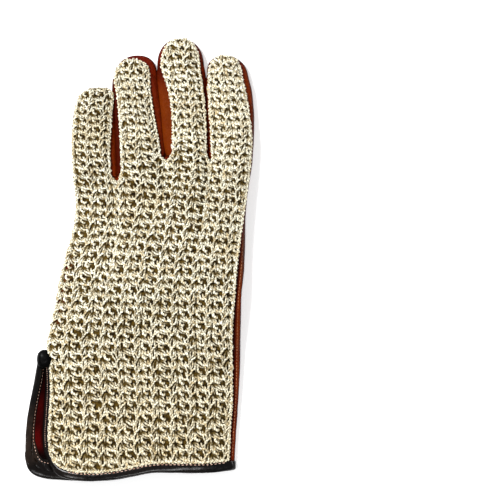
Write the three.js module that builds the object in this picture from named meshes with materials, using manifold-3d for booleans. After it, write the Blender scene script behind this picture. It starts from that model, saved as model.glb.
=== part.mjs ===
// A string-back driving glove for the left hand, lying flat with its back up.
// It has a crocheted cotton back, a leather palm, leather forks between the fingers, a leather
// thumb folded under the palm, and a dark binding round the cuff and its side vent.
//
// Millimetres. +Z is up from the surface that it lies on, +Y points to the fingertips and +X to
// the index finger. All leather has its outer face on one common form, with its wall inwards.
// The crochet lies just outside that form and overlaps the leather at every seam.

import * as THREE from "three";
import Module from "manifold-3d";

const wasm = await Module();
wasm.setup();

// Walls and clearances
const LEATHER_WALL = 1.0;
const CROCHET_WALL = 1.7;
const CROCHET_LIFT = 0.5; // from the common form to the crochet's inside
const SEAM_TUCK = 0.9; // how far leather runs on under the crochet's edge
const TUCK_DROP = 0.2; // how far it keeps below the common form there
const EDGE_GAP = 0.4; // from an edge of the crochet or palm to the binding
const BINDING_DEPTH = 3.4;
const BINDING_THICKNESS = 2.5;

// Moves the whole glove, so that the middle of its footprint is the origin
const ORIGIN_SHIFT = { x: -0.2, y: -0.3 };

// The fingers, each in rows from its root to where its tip starts to round. lx, ly and rx, ry are
// the leather's widest points in plan. seamL and seamR run from them to the crochet's edges.
const FINGERS = [
  {
    apex: { x: -25.5, y: 95.2 },
    tipInset: 0.5, // from the leather's end to the crochet's
    rows: [
      { lx: -37.6, ly: 45.5, rx: -12.9, ry: 45.2, height: 11.2, seamL: 0.7, seamR: 1.2 },
      { lx: -38.2, ly: 60.0, rx: -13.6, ry: 60.0, height: 10.8, seamL: 0.7, seamR: 3.2 },
      { lx: -37.8, ly: 75.0, rx: -14.1, ry: 74.0, height: 10.4, seamL: 0.7, seamR: 3.0 },
      { lx: -36.4, ly: 84.5, rx: -15.3, ry: 84.0, height: 9.8, seamL: 0.7, seamR: 1.8 },
    ],
  },
  {
    apex: { x: -2.2, y: 113.8 },
    tipInset: 3.0,
    rows: [
      { lx: -12.3, ly: 45.2, rx: 14.6, ry: 57.2, height: 11.8, seamL: 1.2, seamR: 1.4 },
      { lx: -13.3, ly: 61.5, rx: 13.0, ry: 68.0, height: 11.6, seamL: 3.0, seamR: 2.8 },
      { lx: -13.8, ly: 77.0, rx: 12.0, ry: 81.0, height: 11.2, seamL: 2.8, seamR: 4.0 },
      { lx: -14.8, ly: 91.0, rx: 10.6, ry: 93.0, height: 10.8, seamL: 2.6, seamR: 4.6 },
      { lx: -15.0, ly: 100.5, rx: 9.8, ry: 101.5, height: 10.2, seamL: 2.2, seamR: 4.2 },
    ],
  },
  {
    apex: { x: 22.8, y: 122.8 },
    tipInset: 0.5,
    rows: [
      { lx: 15.2, ly: 57.2, rx: 38.8, ry: 55.2, height: 12.2, seamL: 1.6, seamR: 1.4 },
      { lx: 13.3, ly: 68.0, rx: 38.1, ry: 68.0, height: 12.0, seamL: 5.0, seamR: 1.8 },
      { lx: 12.2, ly: 82.0, rx: 37.6, ry: 82.0, height: 11.6, seamL: 6.2, seamR: 2.4 },
      { lx: 10.7, ly: 95.0, rx: 37.1, ry: 96.0, height: 11.2, seamL: 5.6, seamR: 2.8 },
      { lx: 9.9, ly: 108.0, rx: 36.2, ry: 108.5, height: 10.4, seamL: 3.0, seamR: 2.6 },
    ],
  },
  {
    apex: { x: 48.0, y: 113.6 },
    tipInset: 0.7,
    rows: [
      { lx: 39.5, ly: 55.2, rx: 63.2, ry: 53.0, height: 12.2, seamL: 1.4, seamR: 1.0 },
      { lx: 38.6, ly: 68.0, rx: 64.0, ry: 67.0, height: 12.0, seamL: 1.7, seamR: 1.2 },
      { lx: 37.9, ly: 82.0, rx: 64.0, ry: 81.0, height: 11.6, seamL: 1.6, seamR: 2.8 },
      { lx: 37.5, ly: 95.0, rx: 62.5, ry: 94.0, height: 11.0, seamL: 1.5, seamR: 4.2 },
      { lx: 38.0, ly: 103.0, rx: 60.4, ry: 102.5, height: 10.4, seamL: 1.4, seamR: 3.8 },
    ],
  },
];
const TIP_ROUNDNESS = 2.25; // of a tip's outline, where 2 is an ellipse
const CROWN_ROUNDNESS = 2.3; // of a finger's top between the crochet's edges
const SIDE_SHARE = 0.42; // of a finger's height, where it is widest
const SEAM_SHARE = 0.76; // of a finger's height, where the crochet's edge is
const TIP_SEAM_SHARE = 0.66; // the same at the end of its tip
const BOTTOM_INSET = 2.6; // from the widest line to the flat underside
const WALL_BULGE = 0.25; // how early a side wall turns upright

// Where the gaps between the fingers end, in plan
const CROTCHES = [
  { x: -12.6, y: 44.5 },
  { x: 14.9, y: 56.5 },
  { x: 39.1, y: 54.5 },
];
const CROTCH_TOP = 8.2;
const CROTCH_BOTTOM = 0.9;

// The crochet's edge on the little finger's side, from the cuff's round corner up to the finger.
// side is the x of the leather's widest line beside it.
const LEFT_SIDE = [
  { x: -46.6, y: -113.2, z: 3.4, side: -47.2 },
  { x: -49.0, y: -107.5, z: 3.3, side: -49.4 },
  { x: -49.8, y: -98.0, z: 3.2, side: -50.2 },
  { x: -49.0, y: -86.0, z: 3.2, side: -49.4 },
  { x: -48.5, y: -72.0, z: 3.4, side: -49.0 },
  { x: -49.0, y: -58.0, z: 4.0, side: -49.6 },
  { x: -51.3, y: -49.5, z: 4.6, side: -51.9 },
  { x: -49.6, y: -38.0, z: 4.8, side: -50.2 },
  { x: -45.9, y: -22.0, z: 5.2, side: -46.5 },
  { x: -42.5, y: -6.0, z: 5.8, side: -43.1 },
  { x: -38.8, y: 8.0, z: 6.4, side: -39.4 },
  { x: -36.0, y: 20.0, z: 6.9, side: -36.6 },
  { x: -35.4, y: 33.0, z: 7.4, side: -36.0 },
  { x: -36.9, y: 45.5, z: 8.5, side: -37.6 },
];

// The same on the index finger's side
const RIGHT_SIDE = [
  { x: 48.6, y: -113.0, z: 5.6, side: 52.2 },
  { x: 49.2, y: -97.0, z: 6.0, side: 53.9 },
  { x: 50.4, y: -78.0, z: 7.0, side: 55.3 },
  { x: 50.8, y: -58.0, z: 8.6, side: 56.6 },
  { x: 50.8, y: -38.0, z: 12.0, side: 57.0 },
  { x: 51.9, y: -20.0, z: 14.2, side: 57.4 },
  { x: 53.4, y: -5.0, z: 14.6, side: 59.2 },
  { x: 55.4, y: 9.0, z: 13.8, side: 59.4 },
  { x: 57.4, y: 22.0, z: 12.0, side: 59.4 },
  { x: 59.6, y: 36.0, z: 10.2, side: 60.6 },
  { x: 62.2, y: 53.0, z: 9.3, side: 63.2 },
];
const SIDE_HEIGHT_SHARE = 0.55; // of a side wall's height, where it is widest
const PALM_EDGE_INSET = 3.2; // from the hand's widest line to its flat underside

// Shares of the palm's length: where its edges leave the hem's ends, and where they turn to the
// fingers' roots
const PALM_LEAVES_HEM = 0.12;
const PALM_MEETS_ROOTS = 0.85;

// Height of the back's crown along the hand
const CROWN = [
  { y: -120, z: 8.6 },
  { y: -95, z: 9.2 },
  { y: -75, z: 10.8 },
  { y: -55, z: 13.4 },
  { y: -35, z: 16.6 },
  { y: -15, z: 18.4 },
  { y: 5, z: 18.4 },
  { y: 22, z: 16.8 },
  { y: 38, z: 14.0 },
  { y: 56, z: 11.8 },
];
const BACK_ROUNDNESS = 3.0;
const KNUCKLES_FROM = 0.7; // share of the back's length where the fingers' ridges begin

// The crochet's hem, from the cuff's round corner to the index finger's side
const BACK_HEM = [
  { x: -46.6, y: -113.2 },
  { x: -43.4, y: -116.6 },
  { x: -36.0, y: -118.9 },
  { x: -26.0, y: -119.6 },
  { x: -15.0, y: -118.4 },
  { x: -5.0, y: -116.0 },
  { x: 8.0, y: -114.9 },
  { x: 24.0, y: -114.6 },
  { x: 38.0, y: -114.1 },
  { x: 48.6, y: -113.0 },
];

// The palm's hem below it, and its round corner at the vent, from the hem outwards
const PALM_HEM = [
  { x: -46.0, y: -119.2 },
  { x: -36.0, y: -120.0 },
  { x: -26.0, y: -120.2 },
  { x: -15.0, y: -118.9 },
  { x: -5.0, y: -116.4 },
  { x: 8.0, y: -115.1 },
  { x: 24.0, y: -114.9 },
  { x: 38.0, y: -114.5 },
  { x: 48.6, y: -113.6 },
];
const PALM_CORNER = [
  { x: -46.0, y: -119.2 },
  { x: -51.2, y: -118.4 },
  { x: -55.4, y: -116.8 },
  { x: -58.2, y: -114.4 },
  { x: -59.7, y: -111.4 },
  { x: -60.2, y: -108.0 },
];

// The edge of the palm's flap along the vent
const FLAP_EDGE = [
  { y: -108, x: -60.2 },
  { y: -98, x: -60.2 },
  { y: -88, x: -59.2 },
  { y: -78, x: -57.8 },
  { y: -68, x: -55.8 },
  { y: -58, x: -54.4 },
  { y: -50, x: -53.4 },
];
const FLAP_CURL = 1.6; // how far its edge lifts
const VENT_CLOSES = { from: -56.5, to: -46.5 }; // between these places along the hand

// The binding's half turn round the vent's top
const VENT_TURN = { x: -54.95, y: -56.0, radius: 1.95, fromZ: 4.9, toZ: 3.2, steps: 5 };

// The thumb lies under the palm in a straight line from its root to its tip
const THUMB = {
  root: { x: 41.5, y: -38.0 },
  tip: { x: 20.5, y: 28.0 },
  rows: [
    { at: 0.0, halfWidth: 10.5, height: 8.6 },
    { at: 0.2, halfWidth: 13.4, height: 9.4 },
    { at: 0.45, halfWidth: 12.6, height: 9.2 },
    { at: 0.7, halfWidth: 11.4, height: 8.8 },
    { at: 0.84, halfWidth: 10.6, height: 8.4 },
  ],
  rootRoundsTo: 0.2,
  roundness: 2.3,
  sectionRoundness: 2.6,
  sides: 16,
  endWall: 1.3, // the wall at its root and tip
  leastHalf: 0.4, // half the width and height of its smallest rings
};

// Its rings, as shares of its length, closer together where its ends are round
const THUMB_PLACES = [
  0.002, 0.02, 0.06, 0.12, 0.2, 0.32, 0.45, 0.58, 0.7, 0.82, 0.9, 0.95, 0.98, 0.995,
];
const THUMB_CLEARANCE = 0.6; // between the thumb's top and the palm

// The oval hole in the palm that the thumb is sewn to, cut from inside the thumb up
const THUMB_HOLE = { at: 0.27, halfWidth: 8.4, halfLength: 13.5, fromZ: 4.3, toZ: 17.0, sides: 20 };

// The palm's rise over the thumb, in the thumb's half widths, and where it fades to the fingers
const BUMP_FLAT_TO = 1.02;
const BUMP_ENDS_AT = 2.2;
const BUMP_FADES_FROM = 0.9;

// A fork's rows, as shares of its height, and where along a finger it narrows to its end
const FORK_ROWS = [0, 0.09, 0.33, 0.57, 0.8, 1];
const FORK_FIRST_WAY = 0.06;
const FORK_ROOTED_TO = 0.3;
const FORK_NARROWS_FROM = 0.72;
const FORK_LOW = { crotch: 0.44, finger: 0.31, end: 0.88 }; // where on the side wall it begins
const FORK_GAP = 0.09; // share of the side wall between the palm's leather and the fork
const FORK_TURN = { radius: 0.35, ahead: 1.3, steps: 5, top: 7.8, side: 4.6, inset: 1.6 };

// How finely the surfaces are divided
const FINGER_COLUMNS = 6;
const WRAP_COLUMNS = 5;
const BODY_ROWS = 16;
const FINGER_ROWS = 6;
const ROOT_CROWDING = 1.15; // above 1, a finger's rows are closer at its root
const TIP_WAYS = [1.2, 1.5, 1.76, 1.92, 1.985];
const BINDING_STATIONS = 100;
const BINDING_SIDES = 8;
const FLAT_SHARE = 0.35; // of half a finger's girth under the hand, that is flat

const COTTON = new THREE.MeshStandardMaterial({ color: 0xe9e2c9, roughness: 0.85, metalness: 0 });
const TAN_LEATHER = new THREE.MeshStandardMaterial({ color: 0x8a3f17, roughness: 0.5, metalness: 0 });
const DARK_LEATHER = new THREE.MeshStandardMaterial({ color: 0x1c1412, roughness: 0.4, metalness: 0 });

// Small maths

const mix = (a, b, t) => a + (b - a) * t;
const clamp = (value, low, high) => Math.min(high, Math.max(low, value));
const mixPoints = (a, b, t) => a.clone().lerp(b, t);
const planPoint = (x, y) => new THREE.Vector3(x, y, 0);

function smoothstep(from, to, value) {
  const t = clamp((value - from) / (to - from), 0, 1);
  return t * t * (3 - 2 * t);
}

// How wide a rounded end still is, from 1 where it starts to 0 at its end
const roundedEnd = (past, roundness) => (1 - past ** roundness) ** (1 / roundness);

// A smooth curve through a table's rows. key gives each row's place, and the rest of its columns
// are found at any place.
function tableCurve(rows, key) {
  const columns = Object.keys(rows[0]).filter((column) => column !== key);
  const slope = (i, column) => {
    const before = rows[Math.max(0, i - 1)];
    const after = rows[Math.min(rows.length - 1, i + 1)];
    return (after[column] - before[column]) / (after[key] - before[key]);
  };
  return (place) => {
    const following = rows.findIndex((row, r) => r > 0 && place <= row[key]);
    const i = following < 0 ? rows.length - 2 : following - 1;
    const span = rows[i + 1][key] - rows[i][key];
    const t = clamp((place - rows[i][key]) / span, 0, 1);
    const found = {};
    for (const column of columns) {
      const start = (2 * t ** 3 - 3 * t ** 2 + 1) * rows[i][column];
      const end = (3 * t ** 2 - 2 * t ** 3) * rows[i + 1][column];
      const leaving = (t ** 3 - 2 * t ** 2 + t) * span * slope(i, column);
      const arriving = (t ** 3 - t ** 2) * span * slope(i + 1, column);
      found[column] = start + end + leaving + arriving;
    }
    return found;
  };
}

// The same for a line of plan points, placed by their share of its length
function lineCurve(points) {
  let length = 0;
  const placed = points.map((point, i) => {
    if (i > 0) length += Math.hypot(point.x - points[i - 1].x, point.y - points[i - 1].y);
    return { ...point, length };
  });
  return tableCurve(placed.map((point) => ({ ...point, length: point.length / length })), "length");
}

const leftSide = lineCurve(LEFT_SIDE);
const rightSide = lineCurve(RIGHT_SIDE);
const backHem = lineCurve(BACK_HEM);
const palmHem = lineCurve(PALM_HEM);
const palmCorner = lineCurve(PALM_CORNER);
const flapEdge = tableCurve(FLAP_EDGE, "y");
const crownAt = tableCurve(CROWN, "y");
const thumbRow = tableCurve(THUMB.rows, "at");
const fingerRows = FINGERS.map(({ rows }) =>
  tableCurve(rows.map((row, i) => ({ ...row, way: i / (rows.length - 1) })), "way"),
);

// A side wall seen along the hand. It leaves the bottom point flat, stands upright at the side
// point and leans over to the top point. share runs from 0 to 1 up the wall.
function wallPoint(bottom, side, top, share) {
  if (share <= 0.5) {
    const angle = share * Math.PI;
    return mixPoints(bottom, side, Math.sin(angle)).setZ(mix(side.z, bottom.z, Math.cos(angle)));
  }
  const t = share * 2 - 1;
  return mixPoints(side, top, t * t).setZ(mix(side.z, top.z, t * (1 + WALL_BULGE * (1 - t))));
}

// The thumb's axis, and how high the palm rises over it

const thumbLength = Math.hypot(THUMB.tip.x - THUMB.root.x, THUMB.tip.y - THUMB.root.y);
const thumbAxis = planPoint(THUMB.tip.x - THUMB.root.x, THUMB.tip.y - THUMB.root.y).normalize();
const thumbAcross = planPoint(thumbAxis.y, -thumbAxis.x);
const thumbTipFrom = THUMB.rows[THUMB.rows.length - 1].at;

// How far a place on the thumb is into the rounding of its root or tip: 0 between them, 1 at an end
function thumbPast(at) {
  if (at < THUMB.rootRoundsTo) return (THUMB.rootRoundsTo - at) / THUMB.rootRoundsTo;
  return Math.max(0, (at - thumbTipFrom) / (1 - thumbTipFrom));
}

function bumpHeight(x, y) {
  const fromRoot = planPoint(x - THUMB.root.x, y - THUMB.root.y);
  const at = fromRoot.dot(thumbAxis) / thumbLength;
  const row = thumbRow(at);
  const across = Math.abs(fromRoot.dot(thumbAcross)) / row.halfWidth;
  const distance = Math.hypot(thumbPast(at), across);
  return (row.height + THUMB_CLEARANCE) * (1 - smoothstep(BUMP_FLAT_TO, BUMP_ENDS_AT, distance));
}

// A section across a finger. way runs from 0 at its root to 1 where its tip starts to round and
// to 2 at its end. A rail is the pair of plan points that lie inset from the widest points.
function fingerSection(finger, way) {
  const { apex, tipInset } = FINGERS[finger];
  const row = fingerRows[finger](Math.min(1, way));
  const past = Math.max(0, way - 1);
  const shrink = roundedEnd(past, TIP_ROUNDNESS);
  const rail = (insetL, insetR, insetTip) => {
    const left = planPoint(row.lx, row.ly);
    const right = planPoint(row.rx, row.ry);
    const across = right.clone().sub(left).normalize();
    left.addScaledVector(across, insetL);
    right.addScaledVector(across, -insetR);
    if (past === 0) return { left, right };
    const neck = mixPoints(left, right, 0.5);
    const ahead = planPoint(apex.x, apex.y).sub(neck);
    const end = neck.clone().add(ahead.clone().setLength(ahead.length() - insetTip));
    const centre = mixPoints(neck, end, past);
    return {
      left: centre.clone().add(left.sub(neck).multiplyScalar(shrink)),
      right: centre.clone().add(right.sub(neck).multiplyScalar(shrink)),
    };
  };
  const seam = rail(row.seamL, row.seamR, tipInset);
  const seamZ = row.height * mix(SEAM_SHARE, TIP_SEAM_SHARE, past);
  return {
    bottom: rail(BOTTOM_INSET, BOTTOM_INSET, BOTTOM_INSET),
    side: rail(0, 0, 0),
    sideZ: row.height * SIDE_SHARE,
    seam,
    seamZ,
    seamWidth: seam.left.distanceTo(seam.right),
    crown: (row.height - seamZ) * shrink,
  };
}

// The top between the crochet's edges, t from 0 on the left to 1 on the right
function fingerTop(section, t) {
  const fromMiddle = Math.abs(2 * t - 1);
  const z = section.seamZ + section.crown * (1 - fromMiddle ** CROWN_ROUNDNESS);
  return mixPoints(section.seam.left, section.seam.right, t).setZ(z);
}

// The side wall, whose top end is tucked under the crochet
function fingerSide(section, side, share) {
  const tucked = Math.min(0.5, SEAM_TUCK / Math.max(section.seamWidth, SEAM_TUCK));
  const top = fingerTop(section, side === "left" ? tucked : 1 - tucked);
  top.z -= TUCK_DROP;
  return wallPoint(section.bottom[side], section.side[side].setZ(section.sideZ), top, share);
}

// All that is under the crochet, as a girth from -1 at the left tuck past 0 in the middle of the
// underside to 1 at the right tuck
function fingerGirth(section, girth) {
  const side = girth < 0 ? "left" : "right";
  const out = Math.abs(girth);
  if (out >= FLAT_SHARE) return fingerSide(section, side, (out - FLAT_SHARE) / (1 - FLAT_SHARE));
  const { bottom } = section;
  const middle = mixPoints(bottom.left, bottom.right, 0.5);
  return mixPoints(middle, bottom[side], out / FLAT_SHARE);
}

// A surface made of vertices and faces, thickened along its own normals into a solid

class Sheet {
  constructor() {
    this.points = [];
    this.faces = [];
  }

  addRow(points) {
    return points.map((point) => this.points.push(point) - 1);
  }

  // Joins two rows of vertices. The second row is further from the cuff, or further round.
  join(near, far, turned = false) {
    for (let i = 0; i + 1 < near.length; i += 1) {
      const [a, b, c, d] = [near[i], near[i + 1], far[i + 1], far[i]];
      const halves = turned ? [[a, c, b], [a, d, c]] : [[a, b, c], [a, c, d]];
      this.faces.push(...halves.filter((face) => new Set(face).size === 3));
    }
  }

  normals() {
    const sums = this.points.map(() => new THREE.Vector3());
    for (const [a, b, c] of this.faces) {
      const ab = this.points[b].clone().sub(this.points[a]);
      const ac = this.points[c].clone().sub(this.points[a]);
      const normal = ab.cross(ac);
      [a, b, c].forEach((corner) => sums[corner].add(normal));
    }
    return sums.map((sum) => sum.normalize());
  }

  // The solid between two distances from the surface
  solid(inner, outer) {
    const normals = this.normals();
    const count = this.points.length;
    const positions = [outer, inner].flatMap((offset) =>
      this.points.flatMap((point, i) => point.clone().addScaledVector(normals[i], offset).toArray()),
    );
    const sides = this.faces.flatMap(([a, b, c]) => [[a, b], [b, c], [c, a]]);
    const known = new Set(sides.map(([from, to]) => `${from},${to}`));
    const index = this.faces.flatMap(([a, b, c]) => [a, b, c, a + count, c + count, b + count]);
    for (const [from, to] of sides) {
      if (known.has(`${to},${from}`)) continue;
      index.push(from, from + count, to + count, from, to + count, to);
    }
    return { positions, index };
  }
}

const FINGER_WAYS = [
  ...Array.from({ length: FINGER_ROWS }, (_, i) => ((i + 1) / FINGER_ROWS) ** ROOT_CROWDING),
  ...TIP_WAYS,
];
const COUNT = FINGERS.length;
const COLUMNS = COUNT * FINGER_COLUMNS;

// The back. Its body is a patch between the hem, the crochet's two edges and the fingers' roots.

function backRoot(column) {
  const finger = Math.min(COUNT - 1, Math.floor(column));
  const inside = column - finger;
  if (inside === 0 && finger > 0) {
    const crotch = CROTCHES[finger - 1];
    return new THREE.Vector3(crotch.x, crotch.y, CROTCH_TOP);
  }
  return fingerTop(fingerSection(finger, 0), inside);
}

// A point of a patch between a hem below, roots above and an edge on each side. across and up run
// from 0 to 1, and each pair holds the two ends of the hem or of the roots.
function patchPoint(hem, root, left, right, hemEnds, rootEnds, across, up) {
  const blended = (axis) => {
    const straightLeft = mix(hemEnds[0][axis], rootEnds[0][axis], up);
    const straightRight = mix(hemEnds[1][axis], rootEnds[1][axis], up);
    const leftShift = (1 - across) * (left[axis] - straightLeft);
    const rightShift = across * (right[axis] - straightRight);
    return mix(hem[axis], root[axis], up) + leftShift + rightShift;
  };
  return planPoint(blended("x"), blended("y"));
}

// column runs from 0 to 4, one for each finger, and up from 0 at the hem to 1 at the roots
function backPoint(column, up) {
  const across = column / COUNT;
  const root = backRoot(column);
  const [left, right] = [leftSide(up), rightSide(up)];
  const ends = [backRoot(0), backRoot(COUNT)];
  const hemEnds = [backHem(0), backHem(1)];
  const plan = patchPoint(backHem(across), root, left, right, hemEnds, ends, across, up);
  const edgeZ = mix(left.z, right.z, across);
  const fromMiddle = Math.abs(2 * across - 1);
  const dome = edgeZ + (crownAt(plan.y).z - edgeZ) * (1 - fromMiddle ** BACK_ROUNDNESS);
  const ridges = root.z + edgeZ - mix(ends[0].z, ends[1].z, across);
  return plan.setZ(mix(dome, ridges, smoothstep(KNUCKLES_FROM, 1, up)));
}

function buildBack() {
  const sheet = new Sheet();
  const rows = [];
  for (let r = 0; r <= BODY_ROWS; r += 1) {
    const columns = Array.from({ length: COLUMNS + 1 }, (_, c) => c / FINGER_COLUMNS);
    rows.push(sheet.addRow(columns.map((column) => backPoint(column, r / BODY_ROWS))));
    if (r > 0) sheet.join(rows[r - 1], rows[r]);
  }
  for (let finger = 0; finger < COUNT; finger += 1) {
    const from = finger * FINGER_COLUMNS;
    let near = rows[BODY_ROWS].slice(from, from + FINGER_COLUMNS + 1);
    for (const way of FINGER_WAYS) {
      const section = fingerSection(finger, way);
      const far = sheet.addRow(near.map((_, i) => fingerTop(section, i / FINGER_COLUMNS)));
      sheet.join(near, far);
      near = far;
    }
    const [end] = sheet.addRow([fingerTop(fingerSection(finger, 2), 0.5)]);
    sheet.join(near, near.map(() => end));
  }
  return { sheet, rows };
}

// The palm, with the hand's side walls, the flap at the vent and the fingers' undersides

// How far a fork has narrowed towards its end, which is at the first way of the rounded tip
function forkNarrowed(way) {
  return smoothstep(FORK_NARROWS_FROM, TIP_WAYS[0], way);
}

// Where on a finger's side wall the fork begins, and where the palm's leather ends below it
function forkLow(way) {
  const rooted = mix(FORK_LOW.crotch, FORK_LOW.finger, smoothstep(0, FORK_ROOTED_TO, way));
  return mix(rooted, FORK_LOW.end, forkNarrowed(way));
}

function palmHigh(way) {
  if (way > TIP_WAYS[0]) return 1;
  return mix(FORK_LOW.finger, FORK_LOW.end, forkNarrowed(way)) - FORK_GAP;
}

// The girths of the palm's vertices across a finger. On the little and index fingers the outer
// side wall is the palm's too, so they have more columns there.
function palmGirths(finger, way) {
  const edge = mix(FLAT_SHARE, 1, palmHigh(way));
  const wrapL = finger === 0 ? WRAP_COLUMNS : 0;
  const wrapR = finger === COUNT - 1 ? WRAP_COLUMNS : 0;
  const total = wrapL + FINGER_COLUMNS + wrapR;
  const tipShare = smoothstep(FORK_NARROWS_FROM, TIP_WAYS[1], way);
  const cornerL = wrapL ? mix(-FLAT_SHARE, mix(-1, 1, wrapL / total), tipShare) : -edge;
  const cornerR = wrapR ? mix(FLAT_SHARE, mix(1, -1, wrapR / total), tipShare) : edge;
  return Array.from({ length: total + 1 }, (_, i) => {
    if (i < wrapL) return mix(-1, cornerL, i / wrapL);
    if (i > total - wrapR) return mix(1, cornerR, (total - i) / wrapR);
    return mix(cornerL, cornerR, (i - wrapL) / FINGER_COLUMNS);
  });
}

function palmRoot(c) {
  const finger = Math.min(COUNT - 1, Math.floor(c / FINGER_COLUMNS));
  const inside = c - finger * FINGER_COLUMNS;
  if (inside === 0 && finger > 0) {
    const crotch = CROTCHES[finger - 1];
    return new THREE.Vector3(crotch.x, crotch.y, CROTCH_BOTTOM);
  }
  const wrapL = finger === 0 ? WRAP_COLUMNS : 0;
  return fingerGirth(fingerSection(finger, 0), palmGirths(finger, 0)[wrapL + inside]);
}

function palmPoint(c, up) {
  const across = c / COLUMNS;
  const root = palmRoot(c);
  const ends = [palmRoot(0), palmRoot(COLUMNS)];
  const hemEnds = [palmHem(0), palmHem(1)];
  const toRoot = smoothstep(PALM_MEETS_ROOTS, 1, up);
  const toEdge = smoothstep(0, PALM_LEAVES_HEM, up);
  const [left, right] = [leftSide(up), rightSide(up)];
  const flatLeft = {
    x: mix(hemEnds[0].x, mix(left.side + PALM_EDGE_INSET, ends[0].x, toRoot), toEdge),
    y: mix(hemEnds[0].y, left.y, toEdge),
  };
  const flatRight = {
    x: mix(hemEnds[1].x, mix(right.side - PALM_EDGE_INSET, ends[1].x, toRoot), toEdge),
    y: mix(hemEnds[1].y, right.y, toEdge),
  };
  const plan = patchPoint(palmHem(across), root, flatLeft, flatRight, hemEnds, ends, across, up);
  const bump = bumpHeight(plan.x, plan.y) * (1 - smoothstep(BUMP_FADES_FROM, 1, up));
  return plan.setZ(bump + root.z * smoothstep(KNUCKLES_FROM, 1, up));
}

// The hand's side wall, from the flat underside up to its tuck under the crochet
function bodySide(side, share, up, bottom) {
  const row = side === "left" ? leftSide(up) : rightSide(up);
  const widest = new THREE.Vector3(row.side, row.y, mix(bottom.z, row.z, SIDE_HEIGHT_SHARE));
  const tuckedColumns = (COUNT * SEAM_TUCK) / (rightSide(up).x - leftSide(up).x);
  const top = backPoint(side === "left" ? tuckedColumns : COUNT - tuckedColumns, up);
  top.z -= TUCK_DROP;
  return wallPoint(bottom, widest, top, share);
}

// Below the vent's top the leather isn't sewn to the crochet there, and lies out as a flap
function flapPoint(share, bottom, y) {
  const edge = { x: flapEdge(y).x, y };
  const corner = palmCorner(share);
  const z = FLAP_CURL * share ** 3;
  if (bottom.y <= PALM_CORNER[0].y) return new THREE.Vector3(corner.x, corner.y, z);
  return new THREE.Vector3(mix(bottom.x, edge.x, share), mix(bottom.y, edge.y, share), z);
}

function buildPalm() {
  const sheet = new Sheet();
  const rows = [];
  for (let r = 0; r <= BODY_ROWS; r += 1) {
    const up = r / BODY_ROWS;
    const under = Array.from({ length: COLUMNS + 1 }, (_, c) => palmPoint(c, up));
    const [first, last] = [under[0], under[COLUMNS]];
    const closed = smoothstep(VENT_CLOSES.from, VENT_CLOSES.to, leftSide(up).y);
    const left = [];
    const right = [];
    for (let i = 1; i <= WRAP_COLUMNS; i += 1) {
      const share = i / WRAP_COLUMNS;
      const sewn = bodySide("left", share, up, first);
      left.unshift(mixPoints(flapPoint(share, first, leftSide(up).y), sewn, closed));
      right.push(bodySide("right", share, up, last));
    }
    rows.push(sheet.addRow([...left, ...under, ...right]));
    if (r > 0) sheet.join(rows[r - 1], rows[r], true);
  }
  for (let finger = 0; finger < COUNT; finger += 1) {
    const from = finger === 0 ? 0 : WRAP_COLUMNS + finger * FINGER_COLUMNS;
    let near = rows[BODY_ROWS].slice(from, from + palmGirths(finger, 0).length);
    for (const way of FINGER_WAYS) {
      const section = fingerSection(finger, way);
      const far = sheet.addRow(palmGirths(finger, way).map((girth) => fingerGirth(section, girth)));
      sheet.join(near, far, true);
      near = far;
    }
    const end = fingerSection(finger, 2);
    const girths = palmGirths(finger, 2);
    const halfGirths = girths.slice(0, Math.ceil(girths.length / 2));
    const half = sheet.addRow(halfGirths.map((girth) => fingerGirth(end, girth)));
    sheet.join(near, near.map((_, i) => half[Math.min(i, near.length - 1 - i)]), true);
  }
  return { sheet, rows };
}

// A fork is the leather between two fingers. It runs down one and, round the crotch, up the next.

function forkStation(finger, side, way) {
  const section = fingerSection(finger, way);
  return FORK_ROWS.map((share) => fingerSide(section, side, mix(forkLow(way), 1, share)));
}

function forkTurn(gap, angle) {
  const { radius, ahead, top, side, inset } = FORK_TURN;
  const away = planPoint(Math.cos(angle), Math.sin(angle));
  const centre = planPoint(CROTCHES[gap].x, CROTCHES[gap].y + ahead);
  const at = (distance, z) => centre.clone().addScaledVector(away, distance).setZ(z);
  return FORK_ROWS.map((share) => {
    const upWall = mix(FORK_LOW.crotch, 1, share);
    return wallPoint(at(radius + inset, 0), at(radius, side), at(radius + inset, top), upWall);
  });
}

function buildFork(gap) {
  const { steps } = FORK_TURN;
  const turns = Array.from({ length: steps }, (_, i) => Math.PI * (1 + (i + 0.5) / steps));
  const ways = [FORK_FIRST_WAY, ...FINGER_WAYS.filter((way) => way <= TIP_WAYS[0])];
  const stations = [
    ...[...ways].reverse().map((way) => forkStation(gap, "right", way)),
    ...turns.map((angle) => forkTurn(gap, angle)),
    ...ways.map((way) => forkStation(gap + 1, "left", way)),
  ];
  const sheet = new Sheet();
  const rows = stations.map((station) => sheet.addRow(station));
  rows.slice(1).forEach((row, i) => sheet.join(rows[i], row));
  return sheet;
}

// Joins rings of points into a closed body. A loop of rings meets itself, and otherwise the end
// rings are filled.
function ringBody(rings, isLoop) {
  const sides = rings[0].length;
  const positions = rings.flat().flatMap((point) => point.toArray());
  const index = [];
  const spans = isLoop ? rings.length : rings.length - 1;
  for (let r = 0; r < spans; r += 1) {
    const next = (r + 1) % rings.length;
    for (let i = 0; i < sides; i += 1) {
      const j = (i + 1) % sides;
      const [a, b, c, d] = [r * sides + i, r * sides + j, next * sides + j, next * sides + i];
      index.push(a, b, c, a, c, d);
    }
  }
  if (!isLoop) {
    const last = (rings.length - 1) * sides;
    for (let i = 1; i + 1 < sides; i += 1) {
      index.push(0, i + 1, i, last, last + i, last + i + 1);
    }
  }
  return { positions, index };
}

// Solids for manifold-3d, which joins and cuts

function solidOf({ positions, index }) {
  return new wasm.Manifold(
    new wasm.Mesh({
      numProp: 3,
      vertProperties: new Float32Array(positions),
      triVerts: new Uint32Array(index),
    }),
  );
}

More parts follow.
